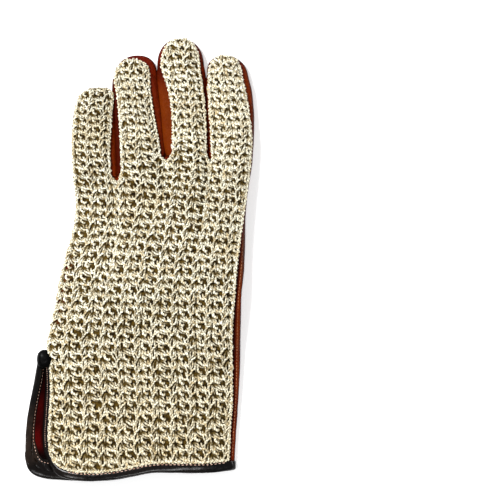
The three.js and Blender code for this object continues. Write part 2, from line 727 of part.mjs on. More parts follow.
function geometryOf({ positions, index }) {
  const geometry = new THREE.BufferGeometry();
  geometry.setAttribute("position", new THREE.Float32BufferAttribute(positions, 3));
  geometry.setIndex(index);
  return geometry;
}

function geometryOfSolid(solid) {
  const mesh = solid.getMesh();
  return geometryOf({ positions: [...mesh.vertProperties], index: [...mesh.triVerts] });
}

// An upright oval plug that cuts the thumb's hole
function thumbHolePlug() {
  const { at, halfWidth, halfLength, fromZ, toZ, sides } = THUMB_HOLE;
  const centre = planPoint(THUMB.root.x, THUMB.root.y).addScaledVector(thumbAxis, at * thumbLength);
  const ring = (z) =>
    Array.from({ length: sides }, (_, i) => {
      const angle = (i / sides) * 2 * Math.PI;
      return centre
        .clone()
        .addScaledVector(thumbAcross, halfWidth * Math.cos(angle))
        .addScaledVector(thumbAxis, halfLength * Math.sin(angle))
        .setZ(z);
    });
  return solidOf(ringBody([ring(fromZ), ring(toZ)], false));
}

// The thumb is a flattened tube with round closed ends, open at its top over the palm's hole

function thumbRing(at, wall) {
  const row = thumbRow(at);
  const shrink = roundedEnd(thumbPast(at), THUMB.roundness);
  const halfWidth = Math.max(THUMB.leastHalf, row.halfWidth * shrink - wall);
  const halfHeight = Math.max(THUMB.leastHalf, (row.height / 2) * shrink - wall);
  const bend = (value) => Math.sign(value) * Math.abs(value) ** (2 / THUMB.sectionRoundness);
  return Array.from({ length: THUMB.sides }, (_, i) => {
    const angle = (i / THUMB.sides) * 2 * Math.PI;
    return planPoint(THUMB.root.x, THUMB.root.y)
      .addScaledVector(thumbAxis, thumbLength * at)
      .addScaledVector(thumbAcross, halfWidth * bend(Math.cos(angle)))
      .setZ(row.height / 2 + halfHeight * bend(Math.sin(angle)));
  });
}

function buildThumb() {
  const wallShare = THUMB.endWall / thumbLength;
  const outer = THUMB_PLACES.map((at) => thumbRing(at, 0)).reverse();
  const innerPlaces = THUMB_PLACES.map((at) => mix(wallShare, 1 - wallShare, at));
  const inner = innerPlaces.map((at) => thumbRing(at, LEATHER_WALL)).reverse();
  const shell = solidOf(ringBody(outer, false)).subtract(solidOf(ringBody(inner, false)));
  return shell.subtract(thumbHolePlug());
}

// The binding runs along the back's hem, up the vent, down the flap and along the palm's hem

function edgeStations({ sheet, normals }, edge, lift) {
  return edge.map((vertex, i) => {
    const before = sheet.points[edge[Math.max(0, i - 1)]];
    const after = sheet.points[edge[Math.min(edge.length - 1, i + 1)]];
    const normal = normals[vertex];
    const out = normal.clone().cross(after.clone().sub(before)).normalize();
    const centre = sheet.points[vertex]
      .clone()
      .addScaledVector(normal, lift)
      .addScaledVector(out, EDGE_GAP + BINDING_DEPTH / 2);
    return { centre, normal };
  });
}

function bindingStations(back, palm) {
  const inVent = ({ sheet }) => (vertex) => sheet.points[vertex].y < VENT_CLOSES.from;
  const backEdge = back.rows.slice(1).map((row) => row[0]).filter(inVent(back));
  const flapEdgeDown = palm.rows.slice(1).map((row) => row[0]).filter(inVent(palm)).reverse();
  const turn = Array.from({ length: VENT_TURN.steps }, (_, i) => {
    const share = i / (VENT_TURN.steps - 1);
    const x = VENT_TURN.x + VENT_TURN.radius * Math.cos(Math.PI * share);
    const y = VENT_TURN.y + VENT_TURN.radius * Math.sin(Math.PI * share);
    const centre = new THREE.Vector3(x, y, mix(VENT_TURN.fromZ, VENT_TURN.toZ, share));
    return { centre, normal: new THREE.Vector3(0, 0, 1) };
  });
  const backLoop = [...[...back.rows[0]].reverse(), ...backEdge];
  const palmLoop = [...flapEdgeDown, ...palm.rows[0]];
  const backStations = edgeStations(back, backLoop, CROCHET_LIFT + CROCHET_WALL / 2);
  const palmStations = edgeStations(palm, palmLoop, -BINDING_THICKNESS / 2);
  palmStations.forEach((station) => station.normal.negate());
  return [...backStations, ...turn, ...palmStations];
}

function buildBinding(stations) {
  const loopOf = (points) => new THREE.CatmullRomCurve3(points, true, "centripetal");
  const centres = loopOf(stations.map((station) => station.centre));
  const normals = loopOf(stations.map((station) => station.normal));
  const rings = [];
  for (let i = 0; i < BINDING_STATIONS; i += 1) {
    const t = i / BINDING_STATIONS;
    const tangent = centres.getTangent(t);
    const normal = normals.getPoint(t);
    normal.addScaledVector(tangent, -normal.dot(tangent)).normalize();
    const across = normal.clone().cross(tangent);
    rings.push(
      Array.from({ length: BINDING_SIDES }, (_, side) => {
        const angle = ((side + 0.5) / BINDING_SIDES) * 2 * Math.PI;
        return centres
          .getPoint(t)
          .addScaledVector(across, (BINDING_DEPTH / 2) * Math.cos(angle))
          .addScaledVector(normal, (BINDING_THICKNESS / 2) * Math.sin(angle));
      }),
    );
  }
  return ringBody(rings, true);
}

// Assembly

const glove = new THREE.Group();
glove.position.set(ORIGIN_SHIFT.x, ORIGIN_SHIFT.y, 0);

function addPiece(name, geometry, material) {
  const mesh = new THREE.Mesh(geometry, material);
  mesh.name = name;
  glove.add(mesh);
}

const back = buildBack();
const crochet = back.sheet.solid(CROCHET_LIFT, CROCHET_LIFT + CROCHET_WALL);
addPiece("crochet_back", geometryOf(crochet), COTTON);

const palm = buildPalm();
const palmLeather = solidOf(palm.sheet.solid(-LEATHER_WALL, 0));
addPiece("leather_palm", geometryOfSolid(palmLeather.subtract(thumbHolePlug())), TAN_LEATHER);

["fork_little_ring", "fork_ring_middle", "fork_middle_index"].forEach((name, gap) => {
  addPiece(name, geometryOf(buildFork(gap).solid(-LEATHER_WALL, 0)), TAN_LEATHER);
});

addPiece("thumb", geometryOfSolid(buildThumb()), TAN_LEATHER);

const stations = bindingStations(
  { ...back, normals: back.sheet.normals() },
  { ...palm, normals: palm.sheet.normals() },
);
addPiece("cuff_binding", geometryOf(buildBinding(stations)), DARK_LEATHER);

export default glove;
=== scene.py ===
# A string-back driving glove for the left hand, lying flat with its back up.
# The form is worked out in millimetres, as in the part's source, and every piece is made from it:
# real crochet strands over the back, leather walls inside and below, and a bound cuff.
import math

import bpy
import numpy as np
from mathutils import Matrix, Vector
from mathutils.bvhtree import BVHTree


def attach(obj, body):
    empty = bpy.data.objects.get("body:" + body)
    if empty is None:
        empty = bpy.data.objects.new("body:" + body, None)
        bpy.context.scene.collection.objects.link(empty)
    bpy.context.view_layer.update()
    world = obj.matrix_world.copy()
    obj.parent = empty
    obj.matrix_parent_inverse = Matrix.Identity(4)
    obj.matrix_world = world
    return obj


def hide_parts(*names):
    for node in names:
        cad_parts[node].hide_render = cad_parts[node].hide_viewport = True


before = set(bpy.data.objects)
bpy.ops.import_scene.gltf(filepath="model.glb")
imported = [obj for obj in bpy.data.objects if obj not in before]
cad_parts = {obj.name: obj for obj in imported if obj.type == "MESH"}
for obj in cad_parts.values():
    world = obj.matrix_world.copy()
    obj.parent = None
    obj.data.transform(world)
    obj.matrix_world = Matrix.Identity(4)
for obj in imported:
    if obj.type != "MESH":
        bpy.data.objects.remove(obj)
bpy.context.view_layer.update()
dice = np.random.default_rng(7)

# Driving dimensions in millimetres
MM = 0.001
ORIGIN_SHIFT = np.array([-0.2, -0.3, 0.0])
LEATHER_WALL = 1.0
CROCHET_LIFT = 0.5
CROCHET_WALL = 1.7
SEAM_TUCK = 0.9
TUCK_DROP = 0.2
EDGE_GAP = 0.4
BINDING_DEPTH = 3.7
BINDING_THICKNESS = 2.5

# The fingers, each with its leather's apex, its crochet's apex and rows from its root to where its
# tip rounds
FINGER_ROW = ("lx", "ly", "rx", "ry", "height", "seam_l", "seam_r")
FINGERS = [
    ((-22.8, 96.4), (-22.8, 95.9), [
        (-37.6, 45.5, -12.9, 45.2, 11.2, 0.7, 2.9),
        (-38.2, 60.0, -13.6, 60.0, 10.8, 0.7, 3.3),
        (-37.8, 75.0, -14.0, 74.0, 10.4, 0.7, 2.0),
        (-36.4, 85.5, -14.8, 86.0, 9.8, 0.7, 0.5),
    ]),
    ((-1.6, 114.6), (-4.0, 111.7), [
        (-12.3, 45.2, 14.6, 57.2, 11.8, 2.8, 2.9),
        (-13.3, 61.5, 13.0, 68.0, 11.6, 3.3, 2.6),
        (-13.8, 77.0, 12.0, 81.0, 11.2, 2.8, 4.0),
        (-14.8, 91.0, 10.6, 93.0, 10.8, 2.4, 4.5),
        (-15.0, 100.5, 9.8, 101.5, 10.2, 1.0, 4.2),
    ]),
    ((22.6, 123.9), (22.8, 123.4), [
        (15.2, 57.2, 38.8, 55.2, 12.2, 3.3, 1.2),
        (13.3, 68.0, 38.1, 68.0, 12.0, 5.4, 1.0),
        (12.2, 82.0, 37.6, 82.0, 11.6, 6.2, 1.0),
        (10.7, 95.0, 37.1, 96.0, 11.2, 5.6, 2.0),
        (9.9, 108.0, 36.2, 108.5, 10.4, 2.3, 2.6),
    ]),
    ((48.0, 114.5), (48.0, 113.8), [
        (39.5, 55.2, 63.2, 53.0, 12.2, 1.3, 1.0),
        (38.6, 68.0, 64.0, 67.0, 12.0, 1.6, 1.2),
        (37.9, 82.0, 64.2, 81.0, 11.6, 1.4, 2.8),
        (37.5, 95.0, 63.1, 94.0, 11.0, 1.2, 3.9),
        (37.9, 103.0, 61.1, 102.5, 10.4, 0.7, 4.0),
    ]),
]
COUNT = len(FINGERS)
TIP_ROUNDNESS = [2.6, 2.25, 2.25, 2.25]
CROWN_ROUNDNESS = 2.3
SIDE_SHARE = 0.42
SEAM_SHARE = 0.76
TIP_SEAM_SHARE = 0.66
BOTTOM_INSET = 2.6
WALL_BULGE = 0.25

CROTCHES = [(-12.5, 42.9), (15.1, 55.3), (39.5, 53.3)]
CROTCH_TOP = 8.2
CROTCH_BOTTOM = 0.9
ROOT_STEP = 1 / 6  # share of a finger's root beside a crotch that runs straight to it
ROOT_WAY = 0.035  # how far along a finger its root has taken its full section

# The crochet's two edges along the hand, with the x of the leather's widest line beside them
SIDE_ROW = ("x", "y", "z", "side")
LEFT_SIDE = [
    (-47.9, -113.2, 3.4, -48.4),
    (-50.3, -107.5, 3.3, -50.7),
    (-51.1, -98.0, 3.2, -51.5),
    (-50.3, -86.0, 3.2, -50.7),
    (-49.7, -72.0, 3.4, -50.2),
    (-50.2, -58.0, 4.0, -50.8),
    (-51.3, -49.5, 4.6, -51.9),
    (-49.6, -38.0, 4.8, -50.2),
    (-45.9, -22.0, 5.2, -46.5),
    (-43.1, -6.0, 5.8, -43.7),
    (-38.8, 8.0, 6.4, -39.4),
    (-36.0, 20.0, 6.9, -36.6),
    (-35.4, 33.0, 7.4, -36.0),
    (-36.9, 45.5, 8.5, -37.6),
]
RIGHT_SIDE = [
    (50.4, -113.0, 5.6, 53.2),
    (51.0, -97.0, 6.0, 54.2),
    (52.1, -78.0, 7.0, 55.5),
    (52.0, -58.0, 8.6, 56.4),
    (52.3, -38.0, 12.0, 56.7),
    (53.5, -20.0, 14.2, 57.2),
    (54.6, -5.0, 14.6, 58.8),
    (56.3, 9.0, 13.8, 59.2),
    (58.0, 22.0, 12.0, 59.4),
    (59.9, 36.0, 10.2, 60.6),
    (62.2, 53.0, 9.3, 63.2),
]
SIDE_HEIGHT_SHARE = 0.55
PALM_EDGE_INSET = 3.2
PALM_LEAVES_HEM = 0.12
PALM_MEETS_ROOTS = 0.85

CROWN = [
    (-120, 8.6), (-95, 9.2), (-75, 10.8), (-55, 13.4), (-35, 16.6),
    (-15, 18.4), (5, 18.4), (22, 16.8), (38, 14.0), (56, 11.8),
]
BACK_ROUNDNESS = 3.0
KNUCKLES_FROM = 0.7

BACK_HEM = [
    (-47.9, -113.2), (-44.0, -116.9), (-36.0, -119.1), (-26.0, -119.8), (-15.0, -118.8),
    (-5.0, -117.0), (8.0, -114.6), (24.0, -114.3), (38.0, -114.3), (50.4, -113.0),
]
PALM_HEM = [
    (-46.0, -119.2), (-36.0, -119.9), (-26.0, -120.2), (-15.0, -119.5),
    (-5.0, -117.7), (8.0, -115.2), (24.0, -114.9), (38.0, -114.8), (50.0, -113.8),
]
PALM_CORNER = [
    (-46.0, -119.2), (-52.2, -118.6), (-56.9, -117.2),
    (-59.3, -115.3), (-60.5, -112.2), (-60.7, -108.0),
]
FLAP_EDGE = [
    (-108, -60.7), (-98, -60.5), (-88, -59.5), (-78, -57.8), (-68, -55.8), (-58, -54.4), (-50, -53.4),
]
FLAP_CURL = 1.6
VENT_CLOSES = (-56.5, -46.5)
VENT_TURN = {"x": -54.3, "y": -56.5, "radius": 1.7, "from_z": 4.9, "to_z": 3.2, "steps": 9}

THUMB_ROOT = (41.5, -38.0)
THUMB_TIP = (20.5, 28.0)
THUMB_ROWS = [
    (0.0, 10.5, 8.6), (0.2, 13.4, 9.4), (0.45, 12.6, 9.2), (0.7, 11.4, 8.8), (0.84, 10.6, 8.4),
]
THUMB_ROOT_ROUNDS_TO = 0.2
THUMB_ROUNDNESS = 2.3
THUMB_SECTION_ROUNDNESS = 2.6
THUMB_CLEARANCE = 0.6
THUMB_RINGS, THUMB_SIDES = 80, 52
THUMB_HOLE = {"at": 0.27, "half_width": 8.4, "half_length": 13.5}
HOLE_FROM_Z = {"palm": 8, "thumb": 6}  # above these the hole is cut, and not in what lies below
BUMP_FLAT_TO = 1.02
BUMP_ENDS_AT = 2.2
BUMP_FADES_FROM = 0.9

FORK_ROOTED_TO = 0.3
FORK_NARROWS_FROM = 0.72
FORK_LOW = {"crotch": 0.44, "finger": 0.31, "end": 0.88}
FORK_GAP = 0.01
FORK_TURN = {"radius": 0.35, "ahead": 2.7, "steps": 9, "top": 7.8, "side": 4.6, "inset": 1.6}
FORK_FIRST_WAY = 0.06
FORK_END_WAY = 1.2
FLAT_SHARE = 0.35

# How finely the leather is divided
FINGER_COLUMNS = 24
WRAP_COLUMNS = 20
BODY_ROWS = 130
FINGER_WAYS = np.concatenate([np.linspace(0, 1, 41)[1:], 1 + np.sin(np.linspace(0, np.pi / 2, 17)[1:-1])])
PALM_TIP_SETTLES = 1.5

# Small maths. Points are arrays whose last axis is x, y, z.
IN_PLAN = np.array([1, 1, 0])


def mix(a, b, t):
    return a + (b - a) * t


def mix_points(a, b, t):
    return a + (b - a) * np.asarray(t, float)[..., None]


def smoothstep(start, end, value):
    t = np.clip((np.asarray(value, float) - start) / (end - start), 0, 1)
    return t * t * (3 - 2 * t)


def fading(start, end, value):
    return 1 - smoothstep(start, end, value)


def plan(x, y, z=0.0):
    return np.stack(np.broadcast_arrays(x, y, z), axis=-1).astype(float)


def unit(vectors):
    return vectors / np.maximum(np.linalg.norm(vectors, axis=-1, keepdims=True), 1e-9)


def square_to(tangent, normal):
    """The unit vectors nearest to normals that stand square to tangents."""
    return unit(normal - tangent * (normal * tangent).sum(axis=1, keepdims=True))


def circle(sides):
    return np.arange(sides) / sides * 2 * np.pi


def rounded_end(past, roundness):
    return np.maximum(0, 1 - past ** roundness) ** (1 / roundness)


def bent(value, roundness):
    """A sine or cosine for a circle made into one for a rounder square."""
    return np.sign(value) * np.abs(value) ** (2 / roundness)


def ramp(value, table):
    """A table of pairs read at a value, with straight lines between its rows."""
    return np.interp(value, *zip(*table))


def path_lengths(path):
    """How far along a path each of its points is."""
    return np.concatenate([[0], np.cumsum(np.linalg.norm(np.diff(path, axis=0), axis=1))])


def at_lengths(values, lengths, places):
    """A path's values read at places along it."""
    return np.stack([np.interp(places, lengths, column) for column in values.T], axis=1)


def resample(values, step, endpoint=True):
    """A path's values at even places along it, and those places. The first three are its points."""
    lengths = path_lengths(values[:, :3])
    places = np.linspace(0, lengths[-1], int(lengths[-1] / step), endpoint=endpoint)
    return at_lengths(values, lengths, places), places


def upright(count, lean=(0.0, 0.0, 1.0)):
    return np.tile(lean, (count, 1))


def table_curve(names, rows, key):
    """A smooth curve through a table's rows, as a function of the column named key."""
    columns = {name: np.array([row[i] for row in rows], float) for i, name in enumerate(names)}
    keys = columns.pop(key)
    before = np.maximum(np.arange(len(rows)) - 1, 0)
    after = np.minimum(np.arange(len(rows)) + 1, len(rows) - 1)

    def at(place):
        i = np.clip(np.searchsorted(keys, place) - 1, 0, len(keys) - 2)
        span = keys[i + 1] - keys[i]
        t = np.clip((place - keys[i]) / span, 0, 1)
        found = {}
        for name, values in columns.items():
            slopes = (values[after] - values[before]) / (keys[after] - keys[before])
            start = (2 * t ** 3 - 3 * t ** 2 + 1) * values[i]
            end = (3 * t ** 2 - 2 * t ** 3) * values[i + 1]
            leaving = (t ** 3 - 2 * t ** 2 + t) * span * slopes[i]
            arriving = (t ** 3 - t ** 2) * span * slopes[i + 1]
            found[name] = start + end + leaving + arriving
        return found

    return at


def line_curve(names, rows):
    """The same for a line of points, placed by their share of its length in plan."""
    steps = np.hypot(*np.diff(np.array([row[:2] for row in rows], float), axis=0).T)
    lengths = np.concatenate([[0], np.cumsum(steps)]) / steps.sum()
    return table_curve((*names, "share"), [(*row, s) for row, s in zip(rows, lengths)], "share")


left_side = line_curve(SIDE_ROW, LEFT_SIDE)
right_side = line_curve(SIDE_ROW, RIGHT_SIDE)
back_hem = line_curve(("x", "y"), BACK_HEM)
palm_hem = line_curve(("x", "y"), PALM_HEM)
palm_corner = line_curve(("x", "y"), PALM_CORNER)
flap_edge = table_curve(("y", "x"), FLAP_EDGE, "y")
crown_at = table_curve(("y", "z"), CROWN, "y")
thumb_row = table_curve(("at", "half_width", "height"), THUMB_ROWS, "at")
finger_rows = [
    table_curve((*FINGER_ROW, "way"), [(*row, i / (len(rows) - 1)) for i, row in enumerate(rows)], "way")
    for _, _, rows in FINGERS
]

# The form, as in the part's source


def wall_point(bottom, side, top, share):
    share = np.asarray(share, float)
    angle = np.minimum(share, 0.5) * np.pi
    t = np.maximum(share * 2 - 1, 0)
    low = mix_points(bottom, side, np.sin(angle))
    high = mix_points(side, top, t * t)
    low[..., 2] = mix(side[..., 2], bottom[..., 2], np.cos(angle))
    high[..., 2] = mix(side[..., 2], top[..., 2], t * (1 + WALL_BULGE * (1 - t)))
    return np.where((share <= 0.5)[..., None], low, high)


thumb_length = math.dist(THUMB_ROOT, THUMB_TIP)
thumb_axis = unit(plan(THUMB_TIP[0] - THUMB_ROOT[0], THUMB_TIP[1] - THUMB_ROOT[1]))
thumb_across = plan(thumb_axis[1], -thumb_axis[0])
THUMB_TIP_FROM = THUMB_ROWS[-1][0]


def thumb_past(at):
    root = (THUMB_ROOT_ROUNDS_TO - at) / THUMB_ROOT_ROUNDS_TO
    return np.maximum(0, np.maximum(root, (at - THUMB_TIP_FROM) / (1 - THUMB_TIP_FROM)))


def from_thumb(points, at=0.0):
    """How far plan points are along and across the thumb from a place on its axis."""
    offset = points * IN_PLAN - (plan(*THUMB_ROOT) + thumb_axis * at * thumb_length)
    return offset @ thumb_axis, offset @ thumb_across


def bump_height(points):
    along, across = from_thumb(points)
    at = along / thumb_length
    row = thumb_row(at)
    distance = np.hypot(thumb_past(at), np.abs(across) / row["half_width"])
    return (row["height"] + THUMB_CLEARANCE) * fading(BUMP_FLAT_TO, BUMP_ENDS_AT, distance)


def finger_section(finger, way):
    apex, crochet_apex, _ = FINGERS[finger]
    way = np.asarray(way, float)
    row = finger_rows[finger](np.minimum(1, way))
    past = np.clip(way - 1, 0, 1)
    shrink = rounded_end(past, TIP_ROUNDNESS[finger])
    widest_l = plan(row["lx"], row["ly"])
    widest_r = plan(row["rx"], row["ry"])
    across = unit(widest_r - widest_l)

    def rail(inset_l, inset_r, tip, inset_tip=0.0):
        left = widest_l + across * np.asarray(inset_l)[..., None]
        right = widest_r - across * np.asarray(inset_r)[..., None]
        neck = (left + right) / 2
        ahead = plan(*tip) - neck
        centre = neck + (ahead - unit(ahead) * inset_tip) * past[..., None]
        return centre + (left - neck) * shrink[..., None], centre + (right - neck) * shrink[..., None]

    seam = rail(row["seam_l"], row["seam_r"], crochet_apex)
    seam_z = row["height"] * mix(SEAM_SHARE, TIP_SEAM_SHARE, past)
    side = rail(0.0, 0.0, apex)
    for edge in side:
        edge[..., 2] = row["height"] * SIDE_SHARE
    return {
        "bottom": rail(BOTTOM_INSET, BOTTOM_INSET, apex, BOTTOM_INSET),
        "side": side,
        "seam": seam,
        "seam_z": seam_z,
        "seam_width": np.linalg.norm(seam[1] - seam[0], axis=-1),
        "crown": (row["height"] - seam_z) * shrink,
    }


def finger_top(section, t):
    from_middle = np.abs(2 * np.asarray(t, float) - 1)
    point = mix_points(*section["seam"], t)
    point[..., 2] = section["seam_z"] + section["crown"] * (1 - from_middle ** CROWN_ROUNDNESS)
    return point


def finger_side(section, side, share):
    tucked = np.minimum(0.5, SEAM_TUCK / np.maximum(section["seam_width"], SEAM_TUCK))
    top = finger_top(section, 1 - tucked if side else tucked)
    top[..., 2] -= TUCK_DROP
    return wall_point(section["bottom"][side], section["side"][side], top, share)


def finger_girth(section, girth):
    out = np.abs(girth)
    share = np.maximum(0, (out - FLAT_SHARE) / (1 - FLAT_SHARE))
    middle = (section["bottom"][0] + section["bottom"][1]) / 2
    sides = []
    for side in (0, 1):
        flat = mix_points(middle, section["bottom"][side], np.minimum(1, out / FLAT_SHARE))
        wall = finger_side(section, side, share)
        sides.append(np.where((out >= FLAT_SHARE)[..., None], wall, flat))
    return np.where((np.asarray(girth) < 0)[..., None], sides[0], sides[1])


def root_line(column, finger_point, crotch_z):
    """The line across all four fingers' roots, which runs straight to the crotches between them."""
    column = np.asarray(column, float)
    finger = np.clip(np.floor(column), 0, COUNT - 1).astype(int)
    inside = column - finger
    line = np.zeros(column.shape + (3,))
    for f in range(COUNT):
        here = finger == f
        low = ROOT_STEP if f > 0 else 0
        high = 1 - ROOT_STEP if f < COUNT - 1 else 1
        t = inside[here]
        point = finger_point(f, np.clip(t, low, high))
        if f > 0:
            point = mix_points(point, plan(*CROTCHES[f - 1], crotch_z), np.maximum(0, 1 - t / ROOT_STEP))
        if f < COUNT - 1:
            near = np.maximum(0, 1 - (1 - t) / ROOT_STEP)
            point = mix_points(point, plan(*CROTCHES[f], crotch_z), near)
        line[here] = point
    return line


def back_root(column):
    return root_line(column, lambda f, t: finger_top(finger_section(f, 0.0), t), CROTCH_TOP)


def patch_point(hem, root, left, right, hem_ends, root_ends, across, up):
    axes = []
    for name, axis in (("x", 0), ("y", 1)):
        straight_l = mix(hem_ends[0][name], root_ends[0][axis], up)
        straight_r = mix(hem_ends[1][name], root_ends[1][axis], up)
        shift_l = (1 - across) * (left[name] - straight_l)
        shift_r = across * (right[name] - straight_r)
        axes.append(mix(hem[name], root[..., axis], up) + shift_l + shift_r)
    return plan(*axes)


def back_point(column, up):
    column, up = np.broadcast_arrays(np.asarray(column, float), np.asarray(up, float))
    across = column / COUNT
    root = back_root(column)
    left, right = left_side(up), right_side(up)
    ends = back_root(np.array([0.0, COUNT]))
    point = patch_point(
        back_hem(across), root, left, right, [back_hem(0.0), back_hem(1.0)], ends, across, up
    )
    edge_z = mix(left["z"], right["z"], across)
    from_middle = np.abs(2 * across - 1)
    crown = crown_at(point[..., 1])["z"]
    dome = edge_z + (crown - edge_z) * (1 - from_middle ** BACK_ROUNDNESS)
    ridges = root[..., 2] + edge_z - mix(ends[0, 2], ends[1, 2], across)
    point[..., 2] = mix(dome, ridges, smoothstep(KNUCKLES_FROM, 1, up))
    return point


def back_finger_point(finger, t, way):
    """The back of a finger, which takes its own section a little way from its root."""
    t, way = np.broadcast_arrays(np.asarray(t, float), np.asarray(way, float))
    own = finger_top(finger_section(finger, np.maximum(way, ROOT_WAY)), t)
    root = back_root(np.clip(finger + t, finger + 1e-6, finger + 1 - 1e-6))
    return mix_points(root, own, np.minimum(1, way / ROOT_WAY))


def fork_narrowed(way):
    return smoothstep(FORK_NARROWS_FROM, FORK_END_WAY, way)


def fork_low(way):
    rooted = mix(FORK_LOW["crotch"], FORK_LOW["finger"], smoothstep(0, FORK_ROOTED_TO, way))
    return mix(rooted, FORK_LOW["end"], fork_narrowed(way))


def palm_corners(finger, way):
    """The girths where the palm's underside ends on each side of a finger."""
    low = mix(FORK_LOW["finger"], FORK_LOW["end"], fork_narrowed(way)) - FORK_GAP
    edge = mix(FLAT_SHARE, 1, low if way <= FORK_END_WAY else 1)
    outer = WRAP_COLUMNS / (WRAP_COLUMNS + FINGER_COLUMNS)
    settled = smoothstep(FORK_NARROWS_FROM, PALM_TIP_SETTLES, way)
    left = mix(-FLAT_SHARE, mix(-1, 1, outer), settled) if finger == 0 else -edge
    right = mix(FLAT_SHARE, mix(1, -1, outer), settled) if finger == COUNT - 1 else edge
    return left, right


def palm_girths(finger, way):
    left, right = palm_corners(finger, way)
    parts = [np.linspace(left, right, FINGER_COLUMNS + 1)]
    if finger == 0:
        parts.insert(0, np.linspace(-1, left, WRAP_COLUMNS + 1)[:-1])
    if finger == COUNT - 1:
        parts.append(np.linspace(right, 1, WRAP_COLUMNS + 1)[1:])
    return np.concatenate(parts)


def palm_root(column):
    def finger_point(f, t):
        return finger_girth(finger_section(f, 0.0), mix(*palm_corners(f, 0.0), t))

    return root_line(column, finger_point, CROTCH_BOTTOM)


def palm_point(column, up):
    column, up = np.broadcast_arrays(np.asarray(column, float), np.asarray(up, float))
    across = column / COUNT
    root = palm_root(column)
    ends = palm_root(np.array([0.0, COUNT]))
    hem_ends = [palm_hem(0.0), palm_hem(1.0)]
    to_root = smoothstep(PALM_MEETS_ROOTS, 1, up)
    to_edge = smoothstep(0, PALM_LEAVES_HEM, up)
    flats = []
    for side, inset, i in ((left_side(up), PALM_EDGE_INSET, 0), (right_side(up), -PALM_EDGE_INSET, 1)):
        x = mix(side["side"] + inset, ends[i, 0], to_root)
        flats.append({"x": mix(hem_ends[i]["x"], x, to_edge), "y": mix(hem_ends[i]["y"], side["y"], to_edge)})
    point = patch_point(palm_hem(across), root, *flats, hem_ends, ends, across, up)
    bump = bump_height(point) * fading(BUMP_FADES_FROM, 1, up)
    point[..., 2] = bump + root[..., 2] * smoothstep(KNUCKLES_FROM, 1, up)
    return point


def body_side(side, share, up, bottom):
    row = right_side(up) if side else left_side(up)
    widest = plan(row["side"], row["y"], mix(bottom[..., 2], row["z"], SIDE_HEIGHT_SHARE))
    tucked = COUNT * SEAM_TUCK / (right_side(up)["x"] - left_side(up)["x"])
    top = back_point(COUNT - tucked if side else tucked, up)
    top[..., 2] -= TUCK_DROP
    return wall_point(bottom, widest, top, share)


corner_line = palm_corner(np.linspace(0, 1, 200))
CORNER_ENDS = PALM_CORNER[-1][1]
HEM_CORNER = np.interp(LEFT_SIDE[0][1], corner_line["y"], np.linspace(0, 1, 200))


def flap_point(share, bottom, y):
    in_corner = np.interp(y, corner_line["y"], corner_line["x"])
    edge = plan(np.where(y < CORNER_ENDS, in_corner, flap_edge(y)["x"]), y)
    corner = palm_corner(share * HEM_CORNER)
    point = mix_points(bottom * IN_PLAN, edge, share)
    at_hem = bottom[..., 1] <= PALM_CORNER[0][1]
    point[..., 0] = np.where(at_hem, corner["x"], point[..., 0])
    point[..., 1] = np.where(at_hem, corner["y"], point[..., 1])
    point[..., 2] = FLAP_CURL * share ** 3
    return point


# Meshes. A sheet is rows of vertices and the faces between them, which is then given its thickness.


# How far the pieces' surfaces ripple
RIPPLE = {
    "palm": 0.16, "palm_fine": 0.05, "fork": 0.12, "thumb": 0.15, "tack": 0.22, "hem_seam": 0.2,
    "binding_width": 0.07, "binding_roll": 0.18, "lip": 0.12, "lip_gathered": 0.3,
}


class Sheet:
    def __init__(self):
        self.points = []
        self.faces = []
        self.count = 0

    def add_row(self, points):
        self.points.append(np.asarray(points, float))
        row = np.arange(self.count, self.count + len(points))
        self.count += len(points)
        return row

    def join(self, near, far, turned=False):
        corners = [near[:-1], near[1:], far[1:], far[:-1]]
        self.faces.append(np.stack(corners[::-1] if turned else corners, axis=1))

    def add_grid(self, grid, turned=False):
        rows = [self.add_row(line) for line in grid]
        for near, far in zip(rows, rows[1:]):
            self.join(near, far, turned)
        return rows

    def arrays(self):
        return np.concatenate(self.points), np.concatenate(self.faces)


def grid_sheet(grid):
    sheet = Sheet()
    sheet.add_grid(grid)
    return sheet.arrays()


def vertex_normals(points, faces):
    a, b, c, d = (points[faces[:, i]] for i in range(4))
    normals = np.cross(c - a, d - b)
    sums = np.zeros_like(points)
    for i in range(4):
        np.add.at(sums, faces[:, i], normals)
    return unit(sums)


def thickened(points, faces, inner, outer, normals=None):
    """The closed solid between two distances from a sheet. Either may differ from vertex to vertex."""
    if normals is None:
        normals = vertex_normals(points, faces)
    n = len(points)
    both = [points + normals * np.reshape(offset, (-1, 1)) for offset in (outer, inner)]
    edges = np.stack([faces, np.roll(faces, -1, axis=1)], axis=2).reshape(-1, 2)
    edges = edges[edges[:, 0] != edges[:, 1]]
    codes = edges[:, 0] * n + edges[:, 1]
    free = edges[~np.isin(codes, edges[:, 1] * n + edges[:, 0])]  # those of one face only
    rim = np.stack([free[:, 0], free[:, 0] + n, free[:, 1] + n, free[:, 1]], axis=1)
    return np.concatenate(both), np.concatenate([faces, faces[:, ::-1] + n, rim])


